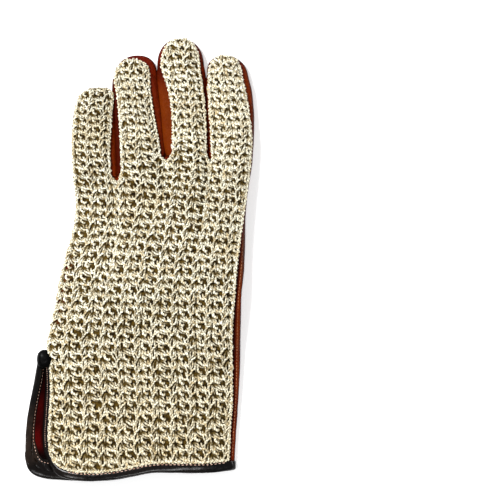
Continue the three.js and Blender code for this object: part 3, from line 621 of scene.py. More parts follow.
def make_mesh(name, points, faces, uvs=None, **shades):
    """A piece from vertices in millimetres and faces with four corners, two of which may be alike."""
    faces = np.asarray(faces)
    repeats = faces == np.roll(faces, 1, axis=1)
    whole = repeats.sum(axis=1) <= 1
    faces, repeats = faces[whole], repeats[whole]
    counts = 4 - repeats.sum(axis=1)
    corners = faces[~repeats]
    mesh = bpy.data.meshes.new(name)
    mesh.vertices.add(len(points))
    mesh.vertices.foreach_set("co", ((points + ORIGIN_SHIFT) * MM).ravel())
    mesh.loops.add(len(corners))
    mesh.loops.foreach_set("vertex_index", corners.astype(np.int32))
    mesh.polygons.add(len(faces))
    starts = np.concatenate([[0], np.cumsum(counts)[:-1]])
    mesh.polygons.foreach_set("loop_start", starts.astype(np.int32))
    mesh.polygons.foreach_set("use_smooth", np.ones(len(faces), bool))
    if uvs is not None:
        layer = mesh.uv_layers.new(name="Strand")
        layer.uv.foreach_set("vector", uvs[corners].astype(np.float32).ravel())
    for shade, values in shades.items():
        mesh.attributes.new(shade, "FLOAT", "POINT").data.foreach_set("value", values.astype(np.float32))
    mesh.update(calc_edges=True)
    mesh.validate()
    piece = bpy.data.objects.new(name, mesh)
    bpy.context.scene.collection.objects.link(piece)
    return piece


def sheet_piece(name, points, faces, inner, outer, normals=None, **shades):
    """A piece made from a sheet and its thickness, with shades given for the sheet's vertices."""
    solid = thickened(points, faces, inner, outer, normals)
    return make_mesh(name, *solid, **{shade: np.tile(values, 2) for shade, values in shades.items()})


def ring_faces(count, sides, closed=False):
    grid = np.arange(count * sides).reshape(count, sides)
    rings = np.concatenate([grid, grid[:1]]) if closed else grid
    turned = np.roll(rings, -1, axis=1)
    return np.stack([rings[:-1], turned[:-1], turned[1:], rings[1:]], axis=-1).reshape(-1, 4)


def shell_faces(count, sides):
    """The faces of rings in a row, each end closed with a fan round one of two more points."""
    ring = np.arange(sides)
    after = np.roll(ring, -1)
    last_ring = (count - 1) * sides
    start = np.stack([after, ring, *np.full((2, sides), count * sides)], axis=1)
    end = np.stack([ring + last_ring, after + last_ring, *np.full((2, sides), count * sides + 1)], axis=1)
    return np.concatenate([ring_faces(count, sides), start, end])


def closed_shell(rings):
    """The vertices and faces of a shell of rings."""
    ends = [ring.mean(axis=0, keepdims=True) for ring in rings[[0, -1]]]
    return np.concatenate([rings.reshape(-1, 3), *ends]), shell_faces(*rings.shape[:2])


def smooth_path(points, step):
    """A smooth path through control points, sampled about every step."""
    points = np.asarray(points, float)
    ends = [2 * points[0] - points[1], 2 * points[-1] - points[-2]]
    p = np.concatenate([[ends[0]], points, [ends[1]]])
    found = []
    for i in range(1, len(p) - 2):
        count = max(1, int(round(np.linalg.norm(p[i + 1] - p[i]) / step)))
        t = np.arange(count)[:, None] / count
        a, b, c, d = p[i - 1], p[i], p[i + 1], p[i + 2]
        found.append(0.5 * (2 * b + (c - a) * t + (2 * a - 5 * b + 4 * c - d) * t ** 2
                            + (3 * b - a - 3 * c + d) * t ** 3))
    return np.concatenate([*found, points[-1:]])


STRAND_SIDES = 6
STRAND_END = 0.55  # a strand's radius at its two ends against the rest of it


def tubes(name, paths, normals, radii, depths):
    """One piece of many closed round strands. Their depths are kept as Height, which the cotton reads for its
    painted shade.
    """
    angles = circle(STRAND_SIDES)
    points, faces, uvs, heights = [], [], [], []
    count = 0
    for path, normal, radius, depth in zip(paths, normals, radii, depths):
        n = len(path)
        tangent = unit(np.gradient(path, axis=0))
        lift = square_to(tangent, normal)
        across = np.cross(tangent, lift)
        ends = np.ones(n)
        ends[[0, -1]] = STRAND_END
        r = (radius * ends)[:, None, None]
        ring = across[:, None] * np.cos(angles)[None, :, None] * r
        ring = ring + lift[:, None] * np.sin(angles)[None, :, None] * r
        points += [(path[:, None] + ring).reshape(-1, 3), path[[0, -1]]]
        faces.append(shell_faces(n, STRAND_SIDES) + count)
        count += n * STRAND_SIDES + 2
        along = path_lengths(path)
        uv = np.stack(np.broadcast_arrays(along[:, None], (angles / (2 * np.pi))[None]), axis=-1)
        uvs += [uv.reshape(-1, 2), [[along[0], 0.5], [along[-1], 0.5]]]
        height = np.broadcast_to(depth, n)[:, None] + radius * np.sin(angles)[None]
        heights += [height.ravel(), height[[0, -1], 0]]
    points, faces, uvs, heights = (np.concatenate(parts) for parts in (points, faces, uvs, heights))
    return make_mesh(name, points, faces, uvs, Height=heights)


OCTAVES = 2
LATTICE = 32  # cells a side, before the noise repeats


def noise(points, size, seed):
    """Smooth seeded noise, mostly from -1 to 1, with features of about this size."""
    total = np.zeros(points.shape[:-1])
    for octave in range(OCTAVES):
        lattice = np.random.default_rng(seed + octave).uniform(-1, 1, (LATTICE,) * 3)
        p = points / size * 2 ** octave
        cell = np.floor(p).astype(int)
        f = p - cell
        f = f * f * (3 - 2 * f)
        value = 0
        for corner in np.ndindex(2, 2, 2):
            i = tuple(((cell + corner) % LATTICE)[..., axis] for axis in range(3))
            weight = np.prod(np.where(np.array(corner) == 1, f, 1 - f), axis=-1)
            value = value + lattice[i] * weight
        total += value / 2 ** octave
    return total


# Materials


class Nodes:
    """Makes a material's nodes with few words."""

    def __init__(self, name):
        self.material = bpy.data.materials.new(name)
        self.material.use_nodes = True
        self.tree = self.material.node_tree
        self.shader = self.tree.nodes["Principled BSDF"]

    def add(self, kind, inputs=None, **settings):
        node = self.tree.nodes.new("ShaderNode" + kind)
        for key, value in settings.items():
            setattr(node, key, value)
        for key, value in (inputs or {}).items():
            self.put(node.inputs[key], value)
        return node

    def put(self, socket, value):
        if isinstance(value, bpy.types.NodeSocket):
            self.tree.links.new(value, socket)
        else:
            socket.default_value = value

    def coords(self):
        return self.add("TexCoord").outputs["Object"]

    def noise(self, scale, detail=3.0, roughness=0.5):
        inputs = {"Vector": self.coords(), "Scale": scale, "Detail": detail, "Roughness": roughness}
        return self.add("TexNoise", inputs).outputs["Fac"]

    def cells(self, scale, feature="F1"):
        node = self.add("TexVoronoi", {"Vector": self.coords(), "Scale": scale}, feature=feature)
        return node.outputs["Distance"]

    def shade(self, name):
        """The share that a piece's vertices carry under this name."""
        return self.add("Attribute", attribute_name=name).outputs["Fac"]

    def axes(self, vector):
        node = self.add("SeparateXYZ", {"Vector": vector})
        return node.outputs["X"], node.outputs["Y"]

    def math(self, operation, *values):
        node = self.add("Math", operation=operation)
        for socket, value in zip(node.inputs, values):
            self.put(socket, value)
        return node.outputs[0]

    def between(self, value, low, high, to_low=0.0, to_high=1.0):
        inputs = {
            "Value": value, "From Min": low, "From Max": high, "To Min": to_low, "To Max": to_high,
        }
        return self.add("MapRange", inputs).outputs[0]

    def blend(self, share, a, b):
        node = self.add("Mix", data_type="RGBA")
        self.put(node.inputs[0], share)
        self.put(node.inputs[6], a)
        self.put(node.inputs[7], b)
        return node.outputs[2]

    def bump(self, height, distance, normal=None):
        inputs = {"Height": height, "Distance": distance, "Strength": 1.0}
        if normal is not None:
            inputs["Normal"] = normal
        return self.add("Bump", inputs).outputs["Normal"]

    def finish(self, color, normal=None, **numbers):
        self.put(self.shader.inputs["Base Color"], color)
        if normal is not None:
            self.put(self.shader.inputs["Normal"], normal)
        for key, value in numbers.items():
            self.put(self.shader.inputs[key.replace("_", " ")], value)
        return self.material


def rgb(red, green, blue):
    """A colour from 0 to 255 a channel, as the eye reads it, for a shader."""
    channels = [c / 255 for c in (red, green, blue)]
    return (*[c / 12.92 if c < 0.04045 else ((c + 0.055) / 1.055) ** 2.4 for c in channels], 1.0)


COTTON_LIGHT = rgb(255, 252, 230)
COTTON_SHADE = rgb(202, 182, 140)
COTTON_AGED = rgb(226, 196, 132)
# the colour of the yarn's painted shade
COTTON_PAINTED_SHADE = rgb(88, 70, 22)
# colours of the painted shade seen through the crochet's holes
BACKING_DARK = rgb(22, 13, 2)
BACKING_LIGHT = rgb(84, 64, 18)
LEATHER_TAN = rgb(118, 36, 5)
LEATHER_RED = rgb(80, 11, 2)
# the colour of painted light on the leather
LEATHER_LIT_AMBER = rgb(134, 66, 2)
LEATHER_INSIDE = rgb(84, 5, 4)
BINDING_BLACK = rgb(20, 14, 11)
BINDING_DEEP = rgb(4, 3, 3)
BINDING_WORN = rgb(38, 28, 22)
THREAD_PALE = rgb(240, 208, 188)
THREAD_TAN = rgb(192, 124, 80)
# the colours of painted shade on the leathers
LEATHER_SHADE = rgb(40, 4, 0)
INSIDE_SHADE = rgb(8, 0, 0)
FLOOR_PALE = rgb(246, 246, 246)
FLOOR_PALER = rgb(250, 250, 250)
YARN_TWIST = 0.62  # turns a millimetre, for its two plies


def cotton_material():
    """Mercerised cotton, plied from strands that wind round it, with painted shade between its plies and on
    its deeper strands.
    """
    n = Nodes("cotton_yarn")
    along, around = n.axes(n.add("UVMap", uv_map="Strand").outputs["UV"])
    turns = n.math("ADD", n.math("MULTIPLY", along, YARN_TWIST), n.math("MULTIPLY", around, 2))
    ply = n.math("ABSOLUTE", n.math("SINE", n.math("MULTIPLY", turns, math.pi)))
    fuzz = n.noise(2600, detail=4.0)
    aged = n.between(n.noise(38, detail=2.0), 0.60, 0.80)
    tone = n.between(n.noise(520, detail=3.0), 0.34, 0.54)
    base = n.blend(tone, COTTON_SHADE, COTTON_LIGHT)
    _, y = n.axes(n.coords())
    aged = n.math("MAXIMUM", n.math("MULTIPLY", aged, 0.35), n.between(y, -0.02, -0.11, 0.0, 0.24))
    base = n.blend(aged, base, COTTON_AGED)
    # painted shade in the grooves between the two plies
    base = n.blend(n.between(ply, 0.05, 0.60, 0.85, 0.0), base, COTTON_PAINTED_SHADE)
    # painted shade that darkens each strand the deeper it lies, by its Height
    base = n.blend(n.between(n.shade("Height"), -0.32, 0.78, 1.0, 0.0), base, COTTON_PAINTED_SHADE)
    normal = n.bump(ply, 0.00016)
    normal = n.bump(fuzz, 0.00005, normal)
    return n.finish(base, normal, Roughness=0.62, Sheen_Weight=0.08, Specular_IOR_Level=0.2)


def backing_material():
    """A dark sheet of painted shade that shows through the crochet's holes."""
    n = Nodes("crochet_painted_shade")
    mottle = n.between(n.noise(560, detail=4.0), 0.38, 0.66)
    color = n.blend(mottle, BACKING_DARK, BACKING_LIGHT)
    color = n.blend(n.shade("Red"), color, LEATHER_RED)
    normal = n.bump(n.cells(900), 0.0003)
    return n.finish(color, normal, Roughness=0.9, Specular_IOR_Level=0.1)


def mottled(n, light, dark):
    """Broad patches and finer blotches of a darker colour, and the blotches alone."""
    broad = n.between(n.noise(45, detail=3.0), 0.32, 0.68)
    blotch = n.between(n.noise(260, detail=4.0), 0.40, 0.75, 0.0, 0.45)
    return n.blend(blotch, n.blend(broad, light, dark), dark), blotch


def leather_material(name, light, dark, roughness, shine, shade=LEATHER_SHADE, grain=1.0, crease=1.0):
    n = Nodes(name)
    color, blotch = mottled(n, light, dark)
    # painted light: a lit amber laid where the piece's vertices ask for it
    color = n.blend(n.shade("Tone"), color, n.blend(n.math("MULTIPLY", blotch, 0.8), LEATHER_LIT_AMBER, light))
    # painted shade: darker towards the shade colour where the Dark attribute says
    color = n.blend(n.shade("Dark"), color, shade)
    pores = n.between(n.cells(1250, feature="DISTANCE_TO_EDGE"), 0.0, 0.22)
    creases = n.noise(170, detail=5.0, roughness=0.6)
    normal = n.bump(pores, 0.00012 * grain)
    normal = n.bump(creases, 0.0011 * crease, normal)
    rough = n.between(n.noise(520), 0.3, 0.7, roughness - 0.07, roughness + 0.09)
    return n.finish(color, normal, Roughness=rough, Specular_IOR_Level=shine)


def binding_material():
    """Glossy dark leather, worn paler along the flap."""
    n = Nodes("dark_leather")
    x, y = n.axes(n.coords())
    color, _ = mottled(n, BINDING_BLACK, BINDING_DEEP)
    worn = n.math("MULTIPLY", n.between(y, -0.080, -0.092), n.between(x, -0.0580, -0.0555, 1.0, 0.0))
    worn = n.math("MULTIPLY", worn, n.between(y, -0.117, -0.111))
    worn = n.math("MULTIPLY", worn, n.between(n.noise(330, detail=3.0), 0.36, 0.60, 0.45, 1.0))
    color = n.blend(worn, color, BINDING_WORN)
    rough = n.between(n.noise(520), 0.3, 0.7, 0.12, 0.28)
    normal = n.bump(n.noise(170, detail=5.0, roughness=0.6), 0.00013)
    return n.finish(color, normal, Roughness=rough, Specular_IOR_Level=0.2)


def thread_material(name, light, dark):
    n = Nodes(name)
    tone = n.between(n.noise(900), 0.3, 0.7)
    return n.finish(n.blend(tone, dark, light), n.bump(n.noise(3000), 0.00005), Roughness=0.7)


def floor_material():
    n = Nodes("floor")
    tone = n.between(n.noise(6, detail=2.0), 0.3, 0.7)
    color = n.blend(tone, FLOOR_PALE, FLOOR_PALER)
    # painted light: the floor glows, which lifts the shadows cast on it
    n.put(n.shader.inputs["Emission Color"], color)
    return n.finish(color, Roughness=0.85, Emission_Strength=0.5)


COTTON = cotton_material()
BACKING = backing_material()
TAN = leather_material("tan_leather", LEATHER_TAN, LEATHER_RED, 0.40, 0.03)
INSIDE = leather_material(
    "red_leather", LEATHER_INSIDE, rgb(60, 3, 3), 0.5, 0.02, shade=INSIDE_SHADE, grain=0.6, crease=0.6
)
DARK = binding_material()
DEEP = leather_material("deep_leather", BINDING_DEEP, rgb(2, 2, 2), 0.35, 0.05, grain=0.0, crease=0.2)
PALE_THREAD = thread_material("pale_thread", THREAD_PALE, rgb(150, 98, 74))
TAN_THREAD = thread_material("tan_thread", THREAD_TAN, rgb(110, 52, 26))


def dress(piece, material, slot, *replaced):
    piece.data.materials.append(material)
    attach(piece, "root")
    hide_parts(*replaced)


# The back's surface, in one fine sheet, which carries the crochet
ABOVE_ALL = 60.0
IN_THE_VENT = 4.5  # a height between the palm and the back

def back_sheet(coarseness=1):
    sheet = Sheet()
    per_finger = FINGER_COLUMNS // coarseness
    columns = np.linspace(0, COUNT, COUNT * per_finger + 1)
    grid = back_point(columns[None], np.linspace(0, 1, BODY_ROWS // coarseness + 1)[:, None])
    rows = sheet.add_grid(grid)
    t = np.linspace(0, 1, per_finger + 1)
    for finger in range(COUNT):
        near = rows[-1][finger * per_finger:(finger + 1) * per_finger + 1]
        for way in [*FINGER_WAYS[coarseness - 1::coarseness], 2.0]:
            far = sheet.add_row(back_finger_point(finger, t, way))
            sheet.join(near, far)
            near = far
    return sheet.arrays()


back_points, back_faces = back_sheet()
back_normals = vertex_normals(back_points, back_faces)
back_tree = BVHTree.FromPolygons(back_points.tolist(), back_faces.tolist())


def first_below(tree, x, y, z):
    """Where a ray down from a point meets a surface, and on which face."""
    place, _, face, _ = tree.ray_cast(Vector((x, y, z)), Vector((0, 0, -1)))
    return place, face


def on_back(points):
    """Drops plan points onto the back. Gives the places, the normals there, and which points met it."""
    places = np.zeros((len(points), 3))
    normals = upright(len(points))
    met = np.zeros(len(points), bool)
    for i, (x, y) in enumerate(points[:, :2]):
        place, face = first_below(back_tree, x, y, ABOVE_ALL)
        if place is None:
            continue
        places[i] = place
        corners = back_faces[face]
        weights = 1 / (1e-3 + np.linalg.norm(back_points[corners] - places[i], axis=1))
        normals[i] = unit((back_normals[corners] * weights[:, None]).sum(axis=0))
        met[i] = True
    return places, normals, met


# The crochet's lattice. Columns run from the cuff to the fingertips, some for each finger, and
# rows run across them. A row's pitch shrinks from the cuff to the fingers.
FINGER_STITCHES = [5.5, 5.5, 5.0, 5.5]
FIRST_STITCH = np.concatenate([[0], np.cumsum(FINGER_STITCHES)])
STITCHES = FIRST_STITCH[-1]
CUFF_SPREAD = 1.05  # the columns are this much wider at the cuff, where the last ones are cut off
COLUMNS_SPREAD = (0.1, 0.95)  # where along the hand the columns gather to their own fingers
ROW_PITCH = [(-120, 6.9), (-60, 6.5), (-10, 6.1), (30, 5.7), (50, 5.2), (70, 4.8), (125, 4.6)]
ROW_SLOPE = [(-120, 0.0), (-60, 0.01), (-10, 0.03), (30, 0.06), (60, 0.06), (90, 0.03), (125, 0.0)]
ROW_SLOPE_FROM_X = 6.0

PITCH_STEP = 0.5
pitch_y = np.arange(-130, 140, PITCH_STEP)
pitch_at = table_curve(("y", "pitch"), ROW_PITCH, "y")(pitch_y)["pitch"]
row_number = np.concatenate([[0], np.cumsum(PITCH_STEP / pitch_at)[:-1]])


def row_at(points):
    """Which row of the crochet a plan point is on."""
    slope = ramp(points[..., 1], ROW_SLOPE)
    return np.interp(points[..., 1] + slope * (points[..., 0] - ROW_SLOPE_FROM_X), pitch_y, row_number)


LINES_PER_STITCH = 4
COLUMNS_SETTLE = 0.45  # how far along a finger its columns spread to its own width
LINE_WAYS = np.linspace(0, 1.985, 120)[1:]  # up to just before the tip, which has no width
ROW_STEP = 0.1
CROTCH_MARGIN = 0.15  # how many rows below a crotch a strand must be to reach over

ROWS_UP = np.linspace(0, 1, 80)
row_columns = np.linspace(0, COUNT, 301)
row_lines = back_point(row_columns[:, None], ROWS_UP[None])[..., :2]
row_lengths = np.linalg.norm(np.diff(row_lines, axis=0), axis=2).cumsum(axis=0)
row_lengths = np.concatenate([np.zeros((1, len(ROWS_UP))), row_lengths])


def spread_columns(finger, t):
    """The columns at which a finger's lines of stitches cross each row, evenly along the row."""
    whole = row_lengths[-1]
    first, last = (row_lengths[np.searchsorted(row_columns, finger + i)] for i in (0, 1))
    even = (FIRST_STITCH[finger] + t * FINGER_STITCHES[finger]) / STITCHES * whole
    even = even * mix(CUFF_SPREAD, 1, ROWS_UP)
    along = mix(even, first + t * (last - first), smoothstep(*COLUMNS_SPREAD, ROWS_UP))
    rows = zip(along.T, row_lengths.T)
    column = np.stack([np.interp(places, lengths, row_columns) for places, lengths in rows], axis=1)
    return column, along <= whole + 1e-9


def rooted_share(finger, t):
    """Where the same lines lie across the finger's own width just past its root."""
    section = finger_section(finger, ROOT_WAY)
    left, right = section["seam"]
    start, end = back_root(np.array([finger + 1e-9, finger + 1 - 1e-9]))
    across = (right - left)[:2]
    points = start[:2] + t * (end - start)[:2]
    return ((points - left[:2]) @ across / (across @ across))[:, None]


def column_grid(finger):
    """Plan points of a finger's strip of the lattice, by stitch and row, and where each line ends."""
    stitches = FINGER_STITCHES[finger]
    t = np.linspace(0, 1, int(stitches * LINES_PER_STITCH) + 1)[:, None]
    column, on_hand = spread_columns(finger, t)
    body = back_point(np.clip(column, 1e-6, COUNT - 1e-6), ROWS_UP[None])
    way = LINE_WAYS[None]
    share = mix(rooted_share(finger, t), t, smoothstep(0, COLUMNS_SETTLE, way))
    shrink = rounded_end(np.clip(way - 1, 0, 1), TIP_ROUNDNESS[finger])
    kept = 0.5 + (share - 0.5) / shrink
    own = back_finger_point(finger, np.clip(kept, 0, 1), way + 0 * t)
    line = np.concatenate([body, own], axis=1)[..., :2]
    inside = np.concatenate([on_hand, (kept >= -1e-9) & (kept <= 1 + 1e-9)], axis=1)
    numbers = row_at(line)
    rows = np.arange(0, numbers.max() + 2, ROW_STEP)
    places = np.zeros((len(t), len(rows), 2))
    ends = np.zeros((len(t), 2))
    for i in range(len(t)):
        run = inside[i]
        number = np.maximum.accumulate(numbers[i][run])
        for axis in (0, 1):
            value = line[i][run][:, axis]
            places[i, :, axis] = np.interp(rows, number, value)
        ends[i] = number[0], number[-1]
        # Past its two ends each line runs straight on
        slope = np.gradient(places[i], axis=0)
        for side, outside in ((0, rows < ends[i, 0]), (1, rows > ends[i, 1])):
            j = np.searchsorted(rows, ends[i, side]) + (2 if side == 0 else -3)
            places[i, outside] = places[i, j] + slope[j] * (np.flatnonzero(outside) - j)[:, None]
    return places, ends, rows


strips = [column_grid(finger) for finger in range(COUNT)]
crotch_rows = [row_at(np.array([c])) for c in CROTCHES]


def strip_places(finger, stitch, row):
    """Plan points of one strip at fractions of stitches and rows, and which of them are inside it."""
    places, ends, rows = strips[finger]
    line = (stitch - FIRST_STITCH[finger]) * LINES_PER_STITCH
    last = len(places) - 1
    i = np.clip(np.floor(line), 0, last - 1).astype(int)
    j = np.clip(np.floor(row / ROW_STEP), 0, len(rows) - 2).astype(int)
    fi = (line - i)[:, None]
    fj = (row / ROW_STEP - j)[:, None]
    low = places[i, j] * (1 - fj) + places[i, j + 1] * fj
    high = places[i + 1, j] * (1 - fj) + places[i + 1, j + 1] * fj
    found = low * (1 - fi) + high * fi
    end = ends[i] * (1 - np.clip(fi, 0, 1)) + ends[i + 1] * np.clip(fi, 0, 1)
    inside = (line >= 0) & (line <= last) & (row >= end[:, 0]) & (row <= end[:, 1])
    return found, inside


def lattice_places(home, stitch, row):
    """The same for a strand whose stitch belongs to the finger home. It may reach over to the next
    finger's strip only below the crotch between them."""
    found, inside = strip_places(home, stitch, row)
    for other, crotch, outside in (
        (home - 1, home - 1, stitch < FIRST_STITCH[home]),
        (home + 1, home, stitch > FIRST_STITCH[home + 1]),
    ):
        if not 0 <= other < COUNT or not outside.any():
            continue
        near = outside & (row < crotch_rows[crotch] - CROTCH_MARGIN)
        if near.any():
            places, within = strip_places(other, stitch[near], row[near])
            found[near] = places
            inside[near] = within
    return found, inside


# The strands of one stitch, each its radius in millimetres and its points s, r, h. s runs across in
# columns, r along in rows and h is the height above the crochet's middle in millimetres. The stitch's
# holes are at s 0, r 0 and at s 1, r 0.13, and the next stitches are two columns across and one row
# along.
YARN_STEP = 0.6
YARN_MIDDLE = 1.30
END_HEIGHT = -1.5
ENDS_BEYOND = 0.6
STITCH_STRANDS = [
    # A post that climbs between the two holes and turns over the next one
    (0.49, [
        (0.93, -0.11, -0.70), (1.00, -0.21, 0.01), (0.98, -0.33, 0.15), (1.11, -0.34, 0.18),
        (1.23, -0.29, 0.02), (1.33, -0.21, -0.14), (1.43, -0.10, -0.02), (1.50, 0.04, 0.13),
        (1.60, 0.17, 0.27), (1.77, 0.23, 0.35), (1.86, 0.35, -0.01), (2.02, 0.45, -0.70),
    ]),
    # A side that runs up beside the post to the next row's bar
    (0.47, [
        (1.28, -0.60, -0.70), (1.30, -0.33, -0.09), (1.33, -0.05, -0.15), (1.32, 0.17, 0.07),
        (1.18, 0.34, 0.26), (1.15, 0.53, 0.29), (1.07, 0.64, 0.04), (1.03, 0.69, -0.70),
    ]),
    # Two bars that lie across under both holes
    (0.61, [
        (0.21, -0.21, -0.78), (0.27, -0.29, -0.54), (0.40, -0.35, -0.11), (0.56, -0.41, 0.05),
        (0.72, -0.49, 0.15), (0.94, -0.51, 0.20), (1.18, -0.48, 0.26), (1.33, -0.56, 0.17),
        (1.42, -0.74, -0.70),
    ]),
    (0.47, [
        (-0.13, -0.34, -0.70), (0.07, -0.40, -0.08), (0.28, -0.47, 0.02), (0.43, -0.57, -0.09),
        (0.61, -0.64, -0.38), (0.81, -0.67, -0.50), (1.03, -0.69, -0.85),
    ]),
    # A hook that hangs from the bars and turns in under the second hole
    (0.70, [
        (0.23, 0.60, -0.94), (0.25, 0.47, -0.20), (0.24, 0.30, 0.11), (0.26, 0.16, 0.13),
        (0.45, 0.10, 0.03), (0.59, -0.01, -0.02), (0.63, 0.02, -0.17), (0.67, 0.12, -0.70),
    ]),
    # The foot of a stitch, which shows under the first hole
    (0.47, [
        (-0.24, -0.06, -0.70), (-0.24, -0.25, -0.17), (-0.23, -0.43, 0.32), (-0.31, -0.66, 0.05),
        (-0.43, -0.84, -0.70),
    ]),
    # Lower strands that dim the gaps between these
    (0.47, [
        (-0.33, -0.04, -0.70), (-0.47, -0.25, -0.58), (-0.57, -0.44, -0.30), (-0.58, -0.64, -0.15),
        (-0.52, -0.84, 0.03), (-0.53, -1.03, -0.70),
    ]),
    (0.47, [
        (0.19, -0.10, -1.10), (0.39, -0.13, -0.71), (0.56, -0.17, -0.16), (0.69, -0.30, -0.06),
        (0.80, -0.43, -0.70),
    ]),
    (0.51, [
        (-0.06, -0.24, -0.70), (-0.10, -0.45, 0.01), (-0.06, -0.70, -0.21), (0.02, -0.93, -0.70),
    ]),
]
STITCH_SIZE = np.array([4.3, 5.8, 1.0])  # about how many millimetres s, r and h stand for
FIRST_HOLE = 0.6
THICKNESSES = (0.90, 1.12)  # of one strand against its radius
DRIFT = (0.18, 0.12)  # how far neighbouring stitches stray together
DRIFT_SIZE = 2.4
# How thick the yarn is for its stitches, by y along the hand and then on each finger
HAND_FULLNESS = [(-120, 1.05), (-60, 1.03), (0, 1.01), (40, 0.94)]
FINGER_FULLNESS = [0.82, 0.95, 1.02, 1.06]
FULLNESS_TURNS = (35, 62)
SHORTEST_RUN = 4
FINGERS_STRAY = 0.12  # how much more the fingers' stitches stray
FINGER_PIECE_FROM = 6  # rows below the crotch
STRAND_SHIFT = np.array([0.085, 0.065, 0.20])  # how far a strand's two ends stray
STITCH_SHIFT = np.array([0.12, 0.10, 0.09])  # how far a whole stitch does


def with_buried_ends(table):
    """A strand's points with one more at each end, which takes it down into the crochet."""
    points = np.array(table, float)
    ends = [(1 + ENDS_BEYOND) * points[i] - ENDS_BEYOND * points[j] for i, j in ((0, 1), (-1, -2))]
    for end in ends:
        end[2] = END_HEIGHT
    return np.concatenate([ends[:1], points, ends[1:]])


def wildness(row, crotch):
    return 1 + FINGERS_STRAY * smoothstep(crotch - 1, crotch + 2, row)


def stray_strands(home, crotch):
    """The control points of all the strands that belong to one finger's strip, and their radii."""
    row_ends = strips[home][1]
    first, last = FIRST_STITCH[home], FIRST_STITCH[home + 1]
    controls, radii = [], []
    for pair in range(-2, int(STITCHES) + 3, 2):
        for row in range(int(row_ends[:, 0].min()) - 1, int(row_ends[:, 1].max()) + 2):
            wild = wildness(row, crotch)
            stray = dice.uniform(-1, 1, 3) * STITCH_SHIFT * wild
            for radius, table in STITCH_STRANDS:
                points = with_buried_ends(table) + [pair + FIRST_HOLE, row, 0]
                ends = dice.uniform(-1, 1, (2, 3)) * STRAND_SHIFT * wild
                shift = stray + mix(ends[0], ends[1], np.linspace(0, 1, len(points))[:, None])
                thickness = dice.uniform(*THICKNESSES)
                if first <= points[:, 0].mean() < last:
                    controls.append(points + shift)
                    radii.append(radius * thickness)
    return controls, radii


def crochet_strands(home):
    """The same strands laid on the back, each in the runs that lie inside the crochet's outline."""
    crotch = float(crotch_rows[min(home, COUNT - 2)][0])
    controls, thicknesses = stray_strands(home, crotch)
    paths = [smooth_path(c * STITCH_SIZE, YARN_STEP) / STITCH_SIZE for c in controls]
    lengths = [len(p) for p in paths]
    joined = np.concatenate(paths)
    at = joined * IN_PLAN
    wild = wildness(joined[:, 1], crotch)
    for axis, seed in ((0, 71), (1, 81)):
        joined[:, axis] += DRIFT[axis] * wild * noise(at, DRIFT_SIZE, seed)
    flat, inside = lattice_places(home, joined[:, 0], joined[:, 1])
    places, normals, met = on_back(flat)
    points = places + normals * (YARN_MIDDLE + joined[:, 2:])
    good = (inside & met).astype(int)
    strands, directions, radii, depths = [], [], [], []
    start = 0
    for length, thickness in zip(lengths, thicknesses):
        edges = start + np.flatnonzero(np.diff(good[start:start + length], prepend=0, append=0))
        start += length
        for run in [slice(a, b) for a, b in edges.reshape(-1, 2) if b - a >= SHORTEST_RUN]:
            y = flat[run, 1].mean()
            fullness = mix(ramp(y, HAND_FULLNESS), FINGER_FULLNESS[home], smoothstep(*FULLNESS_TURNS, y))
            strands.append(points[run])
            directions.append(normals[run])
            radii.append(thickness * fullness)
            depths.append(joined[run, 2])
    return strands, directions, radii, depths


def crochet_pieces():
    pieces = []
    for home, name in enumerate(("little", "ring", "middle", "index")):
        strands = crochet_strands(home)
        crotch = max(crotch_rows[max(home - 1, 0)], crotch_rows[min(home, COUNT - 2)])
        beyond = [bool(row_at(path.mean(axis=0)) > crotch - FINGER_PIECE_FROM) for path in strands[0]]
        for part, wanted in (("hand", False), ("finger", True)):
            chosen = [[value for value, here in zip(values, beyond) if here == wanted] for values in strands]
            pieces.append(tubes(f"crochet_{name}_{part}", *chosen))
    return pieces


# Edging strands along the crochet's whole outline, two that wind round each other
EDGE_PITCH = 3.3
EDGE_RADIUS = 0.40
EDGE_WIND = 0.48
EDGE_INSET = 0.75
EDGE_STEP = 0.6
EDGE_NORMALS_AT = 0.8  # how far inside the outline the back's normals are taken
EDGE_LEAN = [0, 0, 0.6]  # what turns them up
SCALLOP = {"pitch": 2.3, "pitch_strays": 0.35, "depth": 0.34, "depth_strays": 0.15}
TRIM_HEIGHT = 0.4  # how high the edging's and the seams' strands lie, which the edging's cotton reads for its painted shade


def outline_of_back():
    """The crochet's outline, up its left edge, round the fingers, down its right edge and the hem."""
    up = np.linspace(0, 1, 400)
    way = np.concatenate([np.linspace(0, 1, 160), 1 + np.sin(np.linspace(0, np.pi / 2, 120)[1:])])
    runs = [back_point(0.0, up)]
    for finger in range(COUNT):
        out, home = (back_finger_point(finger, edge + 0 * way, way) for edge in (0, 1))
        runs += [out, home[-2::-1]]
    runs.append(back_point(float(COUNT), up[::-1]))
    runs.append(back_point(np.linspace(COUNT, 0, 400), 0.0 * up))
    return np.concatenate(runs)


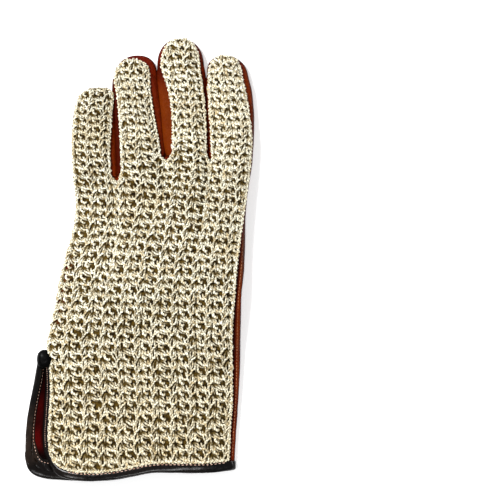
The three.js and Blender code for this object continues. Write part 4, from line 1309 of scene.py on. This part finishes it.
def edging():
    loop, along = resample(outline_of_back(), EDGE_STEP)
    tangent = unit(np.gradient(loop, axis=0) * IN_PLAN)
    inward = np.stack([tangent[:, 1], -tangent[:, 0], 0 * tangent[:, 0]], axis=1)
    _, normals, _ = on_back(loop + inward * EDGE_NORMALS_AT)
    normals = unit(normals + EDGE_LEAN)
    across = unit(np.cross(tangent, normals))
    turns = along / SCALLOP["pitch"] + SCALLOP["pitch_strays"] * noise(loop, 8.0, 91)
    scallop = SCALLOP["depth"] * np.cos(2 * np.pi * turns) + SCALLOP["depth_strays"] * noise(loop, 5.0, 93)
    paths, directions = [], []
    for phase in (0, np.pi):
        angle = along / EDGE_PITCH * 2 * np.pi + phase
        path = loop + inward * (EDGE_INSET + scallop)[:, None] + normals * YARN_MIDDLE
        path = path + across * np.cos(angle)[:, None] * EDGE_WIND
        path = path + normals * np.sin(angle)[:, None] * EDGE_WIND
        paths.append(path)
        directions.append(normals)
    return tubes("crochet_edging", paths, directions, [EDGE_RADIUS] * 2, [TRIM_HEIGHT] * 2)


# The backing: a dark sheet of painted shade under the crochet's strands, where the glove's inside lies in
# shade. It shows red leather near the hand's left edge.
LEFT_EDGE = [(y, x) for x, y, _, _ in LEFT_SIDE]
BACKING_HEIGHTS = (0.15, 0.45)
BACKING_RED = {"by": 0.8, "from_edge": (2.5, 6.0), "from_y": (-45, -35), "to_y": (-5, 5)}


def backing():
    points, faces = back_sheet(coarseness=2)
    y = points[:, 1]
    from_edge = points[:, 0] - ramp(y, LEFT_EDGE)
    red = fading(*BACKING_RED["from_edge"], from_edge) * smoothstep(*BACKING_RED["from_y"], y)
    red = BACKING_RED["by"] * (red * fading(*BACKING_RED["to_y"], y))
    return sheet_piece("crochet_backing", points, faces, *BACKING_HEIGHTS, Red=red)


# Leather


def palm_sheet():
    sheet = Sheet()
    up = np.linspace(0, 1, BODY_ROWS + 1)[:, None]
    under = palm_point(np.linspace(0, COUNT, COUNT * FINGER_COLUMNS + 1)[None], up)
    share, ups = np.broadcast_arrays(np.linspace(0, 1, WRAP_COLUMNS + 1)[None, 1:], up)
    first, last = (np.repeat(under[:, [i]], WRAP_COLUMNS, axis=1) for i in (0, -1))
    side_y = left_side(ups)["y"]
    sewn = body_side(0, share, ups, first)
    left = mix_points(flap_point(share, first, side_y), sewn, smoothstep(*VENT_CLOSES, side_y))
    grid = np.concatenate([left[:, ::-1], under, body_side(1, share, ups, last)], axis=1)
    rows = sheet.add_grid(grid, True)
    for finger in range(COUNT):
        start = 0 if finger == 0 else WRAP_COLUMNS + finger * FINGER_COLUMNS
        near = rows[-1][start:start + len(palm_girths(finger, 0.0))]
        root = grid[-1][start:start + len(near)]
        for way in FINGER_WAYS:
            full = max(way, ROOT_WAY)
            own = finger_girth(finger_section(finger, full), palm_girths(finger, full))
            points = mix_points(root, own, np.full(len(own), min(1.0, way / ROOT_WAY)))
            far = sheet.add_row(points)
            sheet.join(near, far, True)
            near = far
        girths = palm_girths(finger, 2.0)
        half = sheet.add_row(finger_girth(finger_section(finger, 2.0), girths[:(len(girths) + 1) // 2]))
        index = np.minimum(np.arange(len(near)), len(near) - 1 - np.arange(len(near)))
        sheet.join(near, half[np.minimum(index, len(half) - 1)], True)
    return sheet.arrays()


palm_points, palm_faces = palm_sheet()
palm_normals = vertex_normals(palm_points, palm_faces)
PALM_WIDTH = COUNT * FINGER_COLUMNS + 1 + 2 * WRAP_COLUMNS
# How strongly a strip of the right wall is painted a lit amber (painted light) by y, and where it is by
# shares of the wall's height
STRIP_LIT = [(-115, 0.1), (-80, 0.25), (-60, 0.5), (-20, 0.35), (-12, 0.5), (-2, 0.9), (10, 0.6)]
STRIP = {"rises": (0.60, 0.72), "falls": (0.80, 0.88), "ends_y": (8, 24)}
INDEX_LIT = {"by": 0.22, "x": (57, 60), "y": (48, 62)}  # how strongly the index finger's outer wall is painted a lit amber: painted light
# Painted shade on the right wall beside its seam, under the back's edge, and on all walls where they stand
# upright
SEAM_SHADOW = {"by": 0.95, "rises": (0.82, 0.91), "ends_y": (2, 22)}
UPRIGHT = {"by": 0.75, "leans": (0.6, 0.95), "above_z": (0.6, 2.0)}


def in_thumb_hole(points):
    along, across = from_thumb(points, THUMB_HOLE["at"])
    return np.hypot(across / THUMB_HOLE["half_width"], along / THUMB_HOLE["half_length"]) < 1


def leather_palm():
    points, faces = palm_points, palm_faces
    middles = points[faces].mean(axis=1)
    faces = faces[~(in_thumb_hole(middles) & (middles[:, 2] > HOLE_FROM_Z["palm"]))]
    ripple = RIPPLE["palm"] * noise(points * [1, 0.6, 1], 9.0, 3)
    ripple = ripple + RIPPLE["palm_fine"] * noise(points, 3.2, 5)
    free = smoothstep(0.2, 1.2, points[:, 2])
    tone = np.zeros(len(points))
    wall = np.arange((BODY_ROWS + 1) * PALM_WIDTH).reshape(-1, PALM_WIDTH)[:, -WRAP_COLUMNS:]
    share = np.linspace(0, 1, WRAP_COLUMNS + 1)[None, 1:]
    y = points[wall, 1]
    # painted light: a lit amber band along the right wall, and on the index finger's outer wall
    lit = smoothstep(*STRIP["rises"], share) * fading(*STRIP["falls"], share)
    lit = lit * fading(*STRIP["ends_y"], y) * ramp(y, STRIP_LIT)
    tone[wall] = lit * np.clip(0.7 + 0.5 * noise(points[wall], 9.0, 41), 0, 1)
    on_index = smoothstep(*INDEX_LIT["y"], points[:, 1])
    tone += INDEX_LIT["by"] * smoothstep(*INDEX_LIT["x"], points[:, 0]) * on_index
    # painted shade on upright walls and beside the right wall's seam
    lean = np.hypot(*vertex_normals(points, faces)[:, :2].T)
    raised = smoothstep(*UPRIGHT["above_z"], points[:, 2])
    dark = UPRIGHT["by"] * smoothstep(*UPRIGHT["leans"], lean) * raised
    seam_shadow = SEAM_SHADOW["by"] * smoothstep(*SEAM_SHADOW["rises"], share) * fading(*SEAM_SHADOW["ends_y"], y)
    dark[wall] = np.maximum(dark[wall], seam_shadow)
    return sheet_piece("palm_leather", points, faces, -LEATHER_WALL, ripple * free, Tone=tone, Dark=dark)


# The palm's inner face, which shows inside the side vent, with painted shade that darkens it at the vent's
# two ends
LINING_TO_Y = -20.0
LINING_DARK = [
    (-118, 1.0), (-110, 1.0), (-107, 0.8), (-104, 0.15), (-98, 0.0), (-94.5, 0.5), (-91, 0.7),
    (-87, 0.62), (-82, 0.5), (-78, 0.65), (-73, 0.85), (-66, 0.95), (-20, 1.0),
]
LINING_SHADOW = {"by": 0.9, "from_edge": (3.6, 6.2)}  # beside the back's edge
LINING_FACES = (-0.12, 0.1)  # beyond the leather's inner face and into the leather


def palm_lining():
    points, normals, faces = palm_points, palm_normals, palm_faces
    column = faces % PALM_WIDTH
    body = (faces < (BODY_ROWS + 1) * PALM_WIDTH).all(axis=1) & (points[faces, 1].max(axis=1) < LINING_TO_Y)
    inner = (column.min(axis=1) >= 1) & (column.max(axis=1) < PALM_WIDTH - WRAP_COLUMNS // 2)
    kept, index = np.unique(faces[body & inner], return_inverse=True)
    points, normals, faces = points[kept], normals[kept], index.reshape(-1, 4)
    # painted shade along the vent, and a painted shadow beside the back's edge
    dark = ramp(points[:, 1], LINING_DARK)
    from_edge = ramp(points[:, 1], LEFT_EDGE) - points[:, 0]
    shadow = LINING_SHADOW["by"] * fading(*LINING_SHADOW["from_edge"], from_edge)
    inner, outer = (by - LEATHER_WALL for by in LINING_FACES)
    return sheet_piece("palm_lining", points, faces, inner, outer, normals, Dark=np.maximum(dark, shadow))


FORK_SWELLS = (0.65, 0.8, 0.7)  # how far the walls puff out, which closes the slit between them
FORK_PAINTED_LIGHT = ((0.15, 0.0), (0.05, 0.36), (0.1, 0.15))  # how strongly the near and far walls of the gaps are painted a lit amber: painted light
FORK_SHADES = ((0.0, 0.75), (0.35, 0.3), (0.2, 0.2))  # how shaded the near and far walls are
FORK_TIP_SHADE = {"by": 0.7, "ways": (0.7, 0.95)}  # how shaded the far walls are at their tips
FORK_SWELL_SHARES = ((0.0, 0.2), (0.6, 0.95))  # the shares of the wall where that starts and ends
FORK_LIT_SHARES = (0.25, 0.5)  # the shares between which the painted light starts
FORK_LIT_WAYS = (0.62, 0.95)  # and how far along the fingers it ends


def fork(gap, name):
    past_tip = [1.05, 1.1, 1.15, FORK_END_WAY]
    ways = np.concatenate([[FORK_FIRST_WAY], FINGER_WAYS[FINGER_WAYS <= 1.0], past_tip])
    shares = np.linspace(0, 1, 16)

    def station(finger, side, way):
        return finger_side(finger_section(finger, way + 0 * shares), side, mix(fork_low(way), 1, shares))

    def turn(angle):
        away = plan(math.cos(angle), math.sin(angle))
        centre = plan(CROTCHES[gap][0], CROTCHES[gap][1] + FORK_TURN["ahead"])
        outer = centre + away * (FORK_TURN["radius"] + FORK_TURN["inset"])
        side = centre + away * FORK_TURN["radius"] + [0, 0, FORK_TURN["side"]]
        top = outer + [0, 0, FORK_TURN["top"]]
        return wall_point(outer, side, top, mix(FORK_LOW["crotch"], 1, shares))

    steps = FORK_TURN["steps"]
    rows = [station(gap, 1, way) for way in ways[::-1]]
    rows += [turn(math.pi * (1 + (i + 0.5) / steps)) for i in range(steps)]
    rows += [station(gap + 1, 0, way) for way in ways]
    rows_way = np.concatenate([ways[::-1], np.zeros(steps), ways])
    points, faces = grid_sheet(rows)
    ripple = RIPPLE["fork"] * noise(points * [1, 0.5, 1], 6.0, 11 + gap)
    rises, falls = FORK_SWELL_SHARES
    swell = FORK_SWELLS[gap] * smoothstep(*rises, shares) * fading(*falls, shares)
    ripple = ripple + np.tile(swell, len(rows))
    far_side = np.arange(len(rows)) >= len(ways) + steps
    near_light, far_light = FORK_PAINTED_LIGHT[gap]
    # painted light on the walls, and painted shade below
    lit = np.where(far_side, far_light, near_light) * fading(*FORK_LIT_WAYS, rows_way)
    tone = np.repeat(lit, len(shares)) * smoothstep(*FORK_LIT_SHARES, np.tile(shares, len(rows)))
    near_shade, far_shade = FORK_SHADES[gap]
    at_tip = FORK_TIP_SHADE["by"] * smoothstep(*FORK_TIP_SHADE["ways"], rows_way)
    dark = np.repeat(np.where(far_side, np.maximum(far_shade, at_tip), near_shade), len(shares))
    return sheet_piece(name, points, faces, -LEATHER_WALL, ripple, Tone=tone, Dark=dark)


def thumb():
    at = 0.5 - 0.5 * np.cos(np.linspace(0.02, np.pi - 0.02, THUMB_RINGS))
    row = thumb_row(at)
    shrink = rounded_end(thumb_past(at), THUMB_ROUNDNESS)
    angle = circle(THUMB_SIDES)
    centre = plan(*THUMB_ROOT) + thumb_axis * (thumb_length * at)[:, None]
    wide, high = (bent(f(angle), THUMB_SECTION_ROUNDNESS)[None] for f in (np.cos, np.sin))
    across = (row["half_width"] * shrink)[:, None] * wide
    rings = centre[:, None] + thumb_across * across[..., None]
    rings[..., 2] = row["height"][:, None] / 2 * (1 + shrink[:, None] * high)
    points, faces = closed_shell(rings)
    faces = faces[:, ::-1]  # to face outwards
    middles = points[faces].mean(axis=1)
    faces = faces[~(in_thumb_hole(middles) & (middles[:, 2] > HOLE_FROM_Z["thumb"]))]
    free = smoothstep(0.1, 1.0, points[:, 2])
    ripple = RIPPLE["thumb"] * noise(points, 7.0, 21) * free
    return sheet_piece("thumb_leather", points, faces, -LEATHER_WALL, ripple)


# The binding round the hem and the vent, a rolled strip with its own seam
BINDING_OVERLAP = 0.7  # how far the crochet lies over the binding beside the vent
BINDING_LOWERED = 0.75
BINDING_LIFT = CROCHET_LIFT + CROCHET_WALL / 2 - BINDING_LOWERED  # of its middle over the back's sheet
BINDING_SECTION_ROUNDNESS = 2.8
BINDING_SIDES = 24
SMOOTHINGS = 3  # of its line
HEM_COVER = 0.7  # how far it wraps the hem's edge
HEM_BELOW_Y = -108.0
HEM_DEEPENS = {"by": 0.7, "x": (2.0, 22.0)}
HEM_TILT = {"by": 0.4, "from_x": (12.0, 26.0), "to_x": (38.0, 48.0)}
HEM_WIDENS = {"by": np.array([1.3, 0.3, 0.0]), "x": (43.0, 50.0)}


def at_hem(points):
    return points[..., 1] < HEM_BELOW_Y


def hem_extra(points):
    """How much deeper the binding is at the hem's right part."""
    return HEM_DEEPENS["by"] * smoothstep(*HEM_DEEPENS["x"], points[..., 0]) * at_hem(points)


def edge_stations(points, normals, edge, lift, overlap=0.0):
    line = points[edge]
    tangent = np.gradient(line, axis=0)
    normal = normals[edge]
    at_end = smoothstep(*HEM_WIDENS["x"], line[:, 0]) * at_hem(line)
    line = line + at_end[:, None] * HEM_WIDENS["by"]
    out = unit(np.cross(normal, tangent))
    away = EDGE_GAP + BINDING_DEPTH / 2 - np.reshape(overlap, (-1, 1))
    away = away + hem_extra(line)[:, None] / 2
    return line + normal * np.reshape(lift, (-1, 1)) + out * away, normal


def binding_line():
    """The binding's middle line and normals: along the back's hem, up the vent and back by the palm."""
    edges = []
    for points, width in ((back_points, COUNT * FINGER_COLUMNS + 1), (palm_points, PALM_WIDTH)):
        hem, first_column = np.arange(width), np.arange(1, BODY_ROWS + 1) * width
        edges.append((hem, first_column[points[first_column, 1] < VENT_CLOSES[0]]))
    (along_back, up_vent), (along_palm, up_flap) = edges
    back_loop = np.concatenate([along_back[::-1], up_vent])
    palm_loop = np.concatenate([up_flap[::-1], along_palm])
    share = np.linspace(0, 1, VENT_TURN["steps"])
    turn = plan(
        VENT_TURN["x"] + VENT_TURN["radius"] * np.cos(np.pi * share),
        VENT_TURN["y"] + VENT_TURN["radius"] * np.sin(np.pi * share),
        mix(VENT_TURN["from_z"], VENT_TURN["to_z"], share),
    )
    overlap = BINDING_OVERLAP * np.repeat([0.0, 1.0], [len(along_back), len(up_vent)])
    back, back_up = edge_stations(back_points, back_normals, back_loop, BINDING_LIFT, overlap)
    palm, palm_down = edge_stations(palm_points, palm_normals, palm_loop, -BINDING_THICKNESS / 2)
    line = np.concatenate([back, turn, palm])
    normal = np.concatenate([back_up, upright(len(turn)), -palm_down])
    return line, normal


def binding_stations(step=0.8):
    both = np.concatenate(binding_line(), axis=1)
    both, places = resample(np.concatenate([both, both[:1]]), step, endpoint=False)
    for _ in range(SMOOTHINGS):
        both = (np.roll(both, 1, axis=0) + 2 * both + np.roll(both, -1, axis=0)) / 4
    centre, normal = both[:, :3], both[:, 3:]
    tangent = unit(np.roll(centre, -1, axis=0) - np.roll(centre, 1, axis=0))
    return centre, square_to(tangent, normal), tangent, places


def binding():
    centre, normal, tangent, _ = binding_stations()
    across = np.cross(normal, tangent)
    angle = circle(BINDING_SIDES)
    wave = 1 + RIPPLE["binding_width"] * noise(centre, 7.0, 31)
    roll = RIPPLE["binding_roll"] * noise(centre, 11.0, 33)
    tilted = smoothstep(*HEM_TILT["from_x"], centre[:, 0]) * fading(*HEM_TILT["to_x"], centre[:, 0])
    roll = (roll - HEM_TILT["by"] * tilted * at_hem(centre))[:, None, None]
    depth = (BINDING_DEPTH + HEM_COVER * at_hem(centre) + hem_extra(centre))[:, None, None]
    wide, high = (bent(f(angle), BINDING_SECTION_ROUNDNESS)[None, :, None] for f in (np.cos, np.sin))
    out = wide * across[:, None] * depth / 2
    lift = high * normal[:, None] * BINDING_THICKNESS / 2
    lift = lift * (1 + roll * np.cos(angle)[None, :, None])
    points = (centre[:, None] + (out + lift) * wave[:, None, None]).reshape(-1, 3)
    points[:, 2] = np.maximum(points[:, 2], 0)
    return make_mesh("cuff_binding_roll", points, ring_faces(len(centre), BINDING_SIDES, True))


# The binding's inner edge, which lies on the palm's flap and is wide in its gathered corner
FLAP_STARTS = (-54, -58)  # left of and below this the binding runs down the flap
LIP_REACH = [(0.0, 0.8), (36.0, 1.1), (44.0, 1.7), (51.0, 3.8), (59.0, 6.6), (72.0, 6.6), (84.0, 3.0)]
LIP_RISE = 0.45
LIP_WALL = 0.45
GATHERED_FROM = (44, 58)  # how far along its corner it starts to be gathered, and is so fully
FOLD_PITCH = 4.2  # the gathered corner's folds, which run off to the lower right
FOLD_HEIGHT = 0.2
LIP_SEAM = 0.76  # the share of its width where it is sewn down
LIP_LEAVES = 0.3  # how far below the binding's top it starts
LIP_FALLS = (0.1, 0.75)  # the shares of its width between which it comes down to the palm

palm_inner = palm_points - LEATHER_WALL * palm_normals
palm_tree = BVHTree.FromPolygons(palm_inner.tolist(), palm_faces.tolist())


def palm_top(points):
    """The height of the palm's inner face below plan points of the open vent."""
    found = []
    for x, y in points[:, :2]:
        place, _ = first_below(palm_tree, x, y, IN_THE_VENT)
        found.append(place.z if place else 0.0)
    return np.array(found)


def flap_stations():
    """The binding's stations down the flap and round its corner, and how far along each is."""
    centre, normal, tangent, places = binding_stations(0.5)
    x, y = centre[:, 0], centre[:, 1]
    start = np.flatnonzero((tangent[:, 1] < -0.5) & (x < FLAP_STARTS[0]) & (y < FLAP_STARTS[1]))[0]
    along = places - places[start]
    chosen = np.flatnonzero((along >= 0) & (along <= LIP_REACH[-1][0]))
    centre, normal, tangent, along = (values[chosen] for values in (centre, normal, tangent, along))
    across = unit(np.cross(normal, tangent) * IN_PLAN)
    return centre, across, along


def lip_points(centre, across, along, share):
    reach = ramp(along, LIP_REACH)[:, None] + BINDING_DEPTH / 2
    share = np.reshape(share, (1, -1)) + 0 * reach
    points = centre[:, None] + across[:, None] * (share * reach)[..., None]
    near = centre[:, None, 2] + BINDING_THICKNESS / 2 - LIP_LEAVES
    far = palm_top(points.reshape(-1, 3)).reshape(share.shape) + LIP_RISE
    points[..., 2] = np.maximum(mix(near, far, smoothstep(*LIP_FALLS, share)), far)
    return points


def binding_lip():
    centre, across, along = flap_stations()
    share = np.linspace(0, 1, 13)
    points = lip_points(centre, across, along, share)
    gathered = smoothstep(*GATHERED_FROM, along)[:, None] * np.sin(np.pi * share)[None]
    ripple = RIPPLE["lip_gathered"] * gathered * noise(points * IN_PLAN, 3.4, 53)
    points[..., 2] += RIPPLE["lip"] * noise(points, 5.0, 51) + ripple
    fold = 2 * np.pi * (points[..., 0] + points[..., 1]) / FOLD_PITCH
    folds = np.cos(fold + noise(points * IN_PLAN, 6.0, 55))
    points[..., 2] += FOLD_HEIGHT * gathered * folds
    points, faces = grid_sheet(points)
    up = -vertex_normals(points, faces)
    return sheet_piece("cuff_binding_lip", points, faces[:, ::-1], -LIP_WALL, 0.0, up)


# A leather tack over the top of the vent
TACK = {"at": (-53.2, -56.0), "half": (4.5, 5.6), "z": (0.6, 7.9), "roundness": 2.3}


def vent_tack():
    low, high = TACK["z"]
    rise = np.linspace(-np.pi / 2 + 0.04, np.pi / 2 - 0.04, 40)
    turn = circle(56)
    girth = bent(np.cos(rise), TACK["roundness"])[:, None]
    x = TACK["at"][0] + TACK["half"][0] * girth * bent(np.cos(turn), TACK["roundness"])[None]
    y = TACK["at"][1] + TACK["half"][1] * girth * bent(np.sin(turn), TACK["roundness"])[None]
    z = (low + high) / 2 + (high - low) / 2 * bent(np.sin(rise), TACK["roundness"])[:, None]
    points = plan(x, y, z)
    outward = unit(points - [*TACK["at"], (low + high) / 2])
    points += RIPPLE["tack"] * noise(points, 4.0, 61)[..., None] * outward
    return make_mesh("cuff_binding_tack", *closed_shell(points))


# Seams: rows of small stitches that lie along a line
STITCH_SINKS = 0.6  # how far a stitch's ends go below its line, in its radii


def dashes(name, line, normals, length, gap, radius, lift):
    lengths = path_lengths(line)
    share = np.linspace(0, 1, 7)
    arch = np.sin(np.pi * share) ** 0.5
    rise = (lift * arch - radius * STITCH_SINKS * (1 - arch))[:, None]
    paths, directions = [], []
    for start in np.arange(gap, lengths[-1] - length, length + gap):
        places = start + length * share
        normal = unit(at_lengths(normals, lengths, places))
        paths.append(at_lengths(line, lengths, places) + normal * rise)
        directions.append(normal)
    count = len(paths)
    return tubes(name, paths, directions, [radius] * count, [TRIM_HEIGHT] * count)


def wall_seam(side, share, wall):
    """A line along a side wall at a share of its height, with its outward normals."""
    here, above = (wall(s) for s in (share, share + 0.03))
    normals = unit(np.cross(np.gradient(here, axis=0), above - here))
    return here, normals * (-1 if side else 1)


def hand_seam(side, share, first, last, count):
    ups = np.linspace(first, last, count)
    under = palm_point(float(COUNT if side else 0), ups)
    return wall_seam(side, share, lambda s: body_side(side, s + 0 * ups, ups, under))


def finger_seam(finger, side):
    ways = np.linspace(0.03, 0.97, 200)
    section = finger_section(finger, ways)
    return wall_seam(side, 0.9, lambda s: finger_side(section, side, s + 0 * ways))


BINDING_TOP = BINDING_LIFT + BINDING_THICKNESS / 2
VENT_SEAM = (-2.0, 0.0, BINDING_TOP)
HEM_SEAM = (0.0, -0.55, BINDING_TOP - 0.05)


def seams():
    centre, across, along = flap_stations()
    kept = along < LIP_REACH[-2][0]
    flap = lip_points(centre[kept], across[kept], along[kept], LIP_SEAM)[:, 0]
    vent = back_point(0.0, np.linspace(0.05, 0.34, 200)) + VENT_SEAM
    hem = back_point(np.linspace(0.35, COUNT - 0.05, 300), 0.0) + HEM_SEAM
    hem[:, 1] += RIPPLE["hem_seam"] * noise(hem, 4.0, 97)
    # Each seam's line and normals, its stitches' length and gap, their radius and how far they rise
    rows = [
        ("binding_seam_flap", flap, upright(len(flap)), 1.1, 0.75, 0.17, 0.1),
        ("binding_seam_vent", vent, upright(len(vent)), 0.5, 0.55, 0.12, 0.1),
        ("binding_seam_hem", hem, upright(len(hem), (0.0, -0.3, 1.0)), 1.3, 1.0, 0.22, 0.1),
        ("palm_seam_right", *hand_seam(1, 0.80, 0.012, 0.76, 400), 1.0, 0.85, 0.27, 0.22),
        ("palm_seam_left", *hand_seam(0, 0.86, 0.42, 0.985, 300), 1.0, 0.75, 0.16, 0.12),
        ("palm_seam_index", *finger_seam(COUNT - 1, 1), 1.0, 0.75, 0.15, 0.12),
        ("palm_seam_little", *finger_seam(0, 0), 1.0, 0.75, 0.15, 0.12),
    ]
    return [dashes(*row) for row in rows]


# Floor, light and camera


def floor():
    bpy.ops.mesh.primitive_plane_add(size=6.0, location=(0, 0, 0))
    plane = bpy.context.object
    plane.name = "floor"
    plane.data.materials.append(floor_material())


# Each light's place in metres, size and watts. They all shine on the glove's middle.
LIGHTS = {
    "key": ((-0.62, 0.62, 1.15), 0.40, 30),
    "front": ((0.05, -0.6, 1.2), 0.25, 3),
    "side": ((-0.6, -0.5, 1.15), 0.25, 3),
}
SKY_STRENGTH = 0.36


def lighting():
    scene = bpy.context.scene
    for name, (location, size, watts) in LIGHTS.items():
        data = bpy.data.lights.new(name, "AREA")
        data.shape = "DISK"
        data.size = size
        data.energy = watts
        light = bpy.data.objects.new(name, data)
        light.location = location
        light.rotation_euler = (-Vector(location)).to_track_quat("-Z", "Y").to_euler()
        scene.collection.objects.link(light)
    world = bpy.data.worlds.new("studio")
    world.use_nodes = True
    sky = world.node_tree.nodes["Background"].inputs
    sky["Color"].default_value = (1, 1, 1, 1)
    sky["Strength"].default_value = SKY_STRENGTH
    scene.world = world
    scene.view_settings.view_transform = "Standard"


# The photograph's frame, straight from above. The glove fills its left half.
FRAME_WIDTH = 280.0
FRAME_CENTRE = (61.7, 5.0)
LENS = 300.0
FRAMED_HEIGHT = 8.0  # the height at which the frame has this width


def camera():
    data = bpy.data.cameras.new("camera")
    data.lens = LENS
    distance = FRAME_WIDTH / data.sensor_width * LENS + FRAMED_HEIGHT
    data.clip_end = 100
    seen = bpy.data.objects.new("camera", data)
    seen.location = (FRAME_CENTRE[0] * MM, FRAME_CENTRE[1] * MM, distance * MM)
    bpy.context.scene.collection.objects.link(seen)
    bpy.context.scene.camera = seen


camera()
lighting()
floor()

for piece in [*crochet_pieces(), edging()]:
    dress(piece, COTTON, "crochet", "crochet_back")
dress(backing(), BACKING, "crochet", "crochet_back")
dress(leather_palm(), TAN, "tan_leather", "leather_palm")
for gap, name in enumerate(("fork_little_ring", "fork_ring_middle", "fork_middle_index")):
    dress(fork(gap, name + "_leather"), TAN, "tan_leather", name)
dress(thumb(), TAN, "tan_leather", "thumb")
for piece, material in ((binding(), DARK), (binding_lip(), DARK), (vent_tack(), DEEP)):
    dress(piece, material, "dark_leather", "cuff_binding")
dress(palm_lining(), INSIDE, None, "leather_palm")
for piece in seams():
    if piece.name.startswith("binding"):
        dress(piece, PALE_THREAD, None, "cuff_binding")
    else:
        dress(piece, TAN_THREAD, None, "leather_palm")
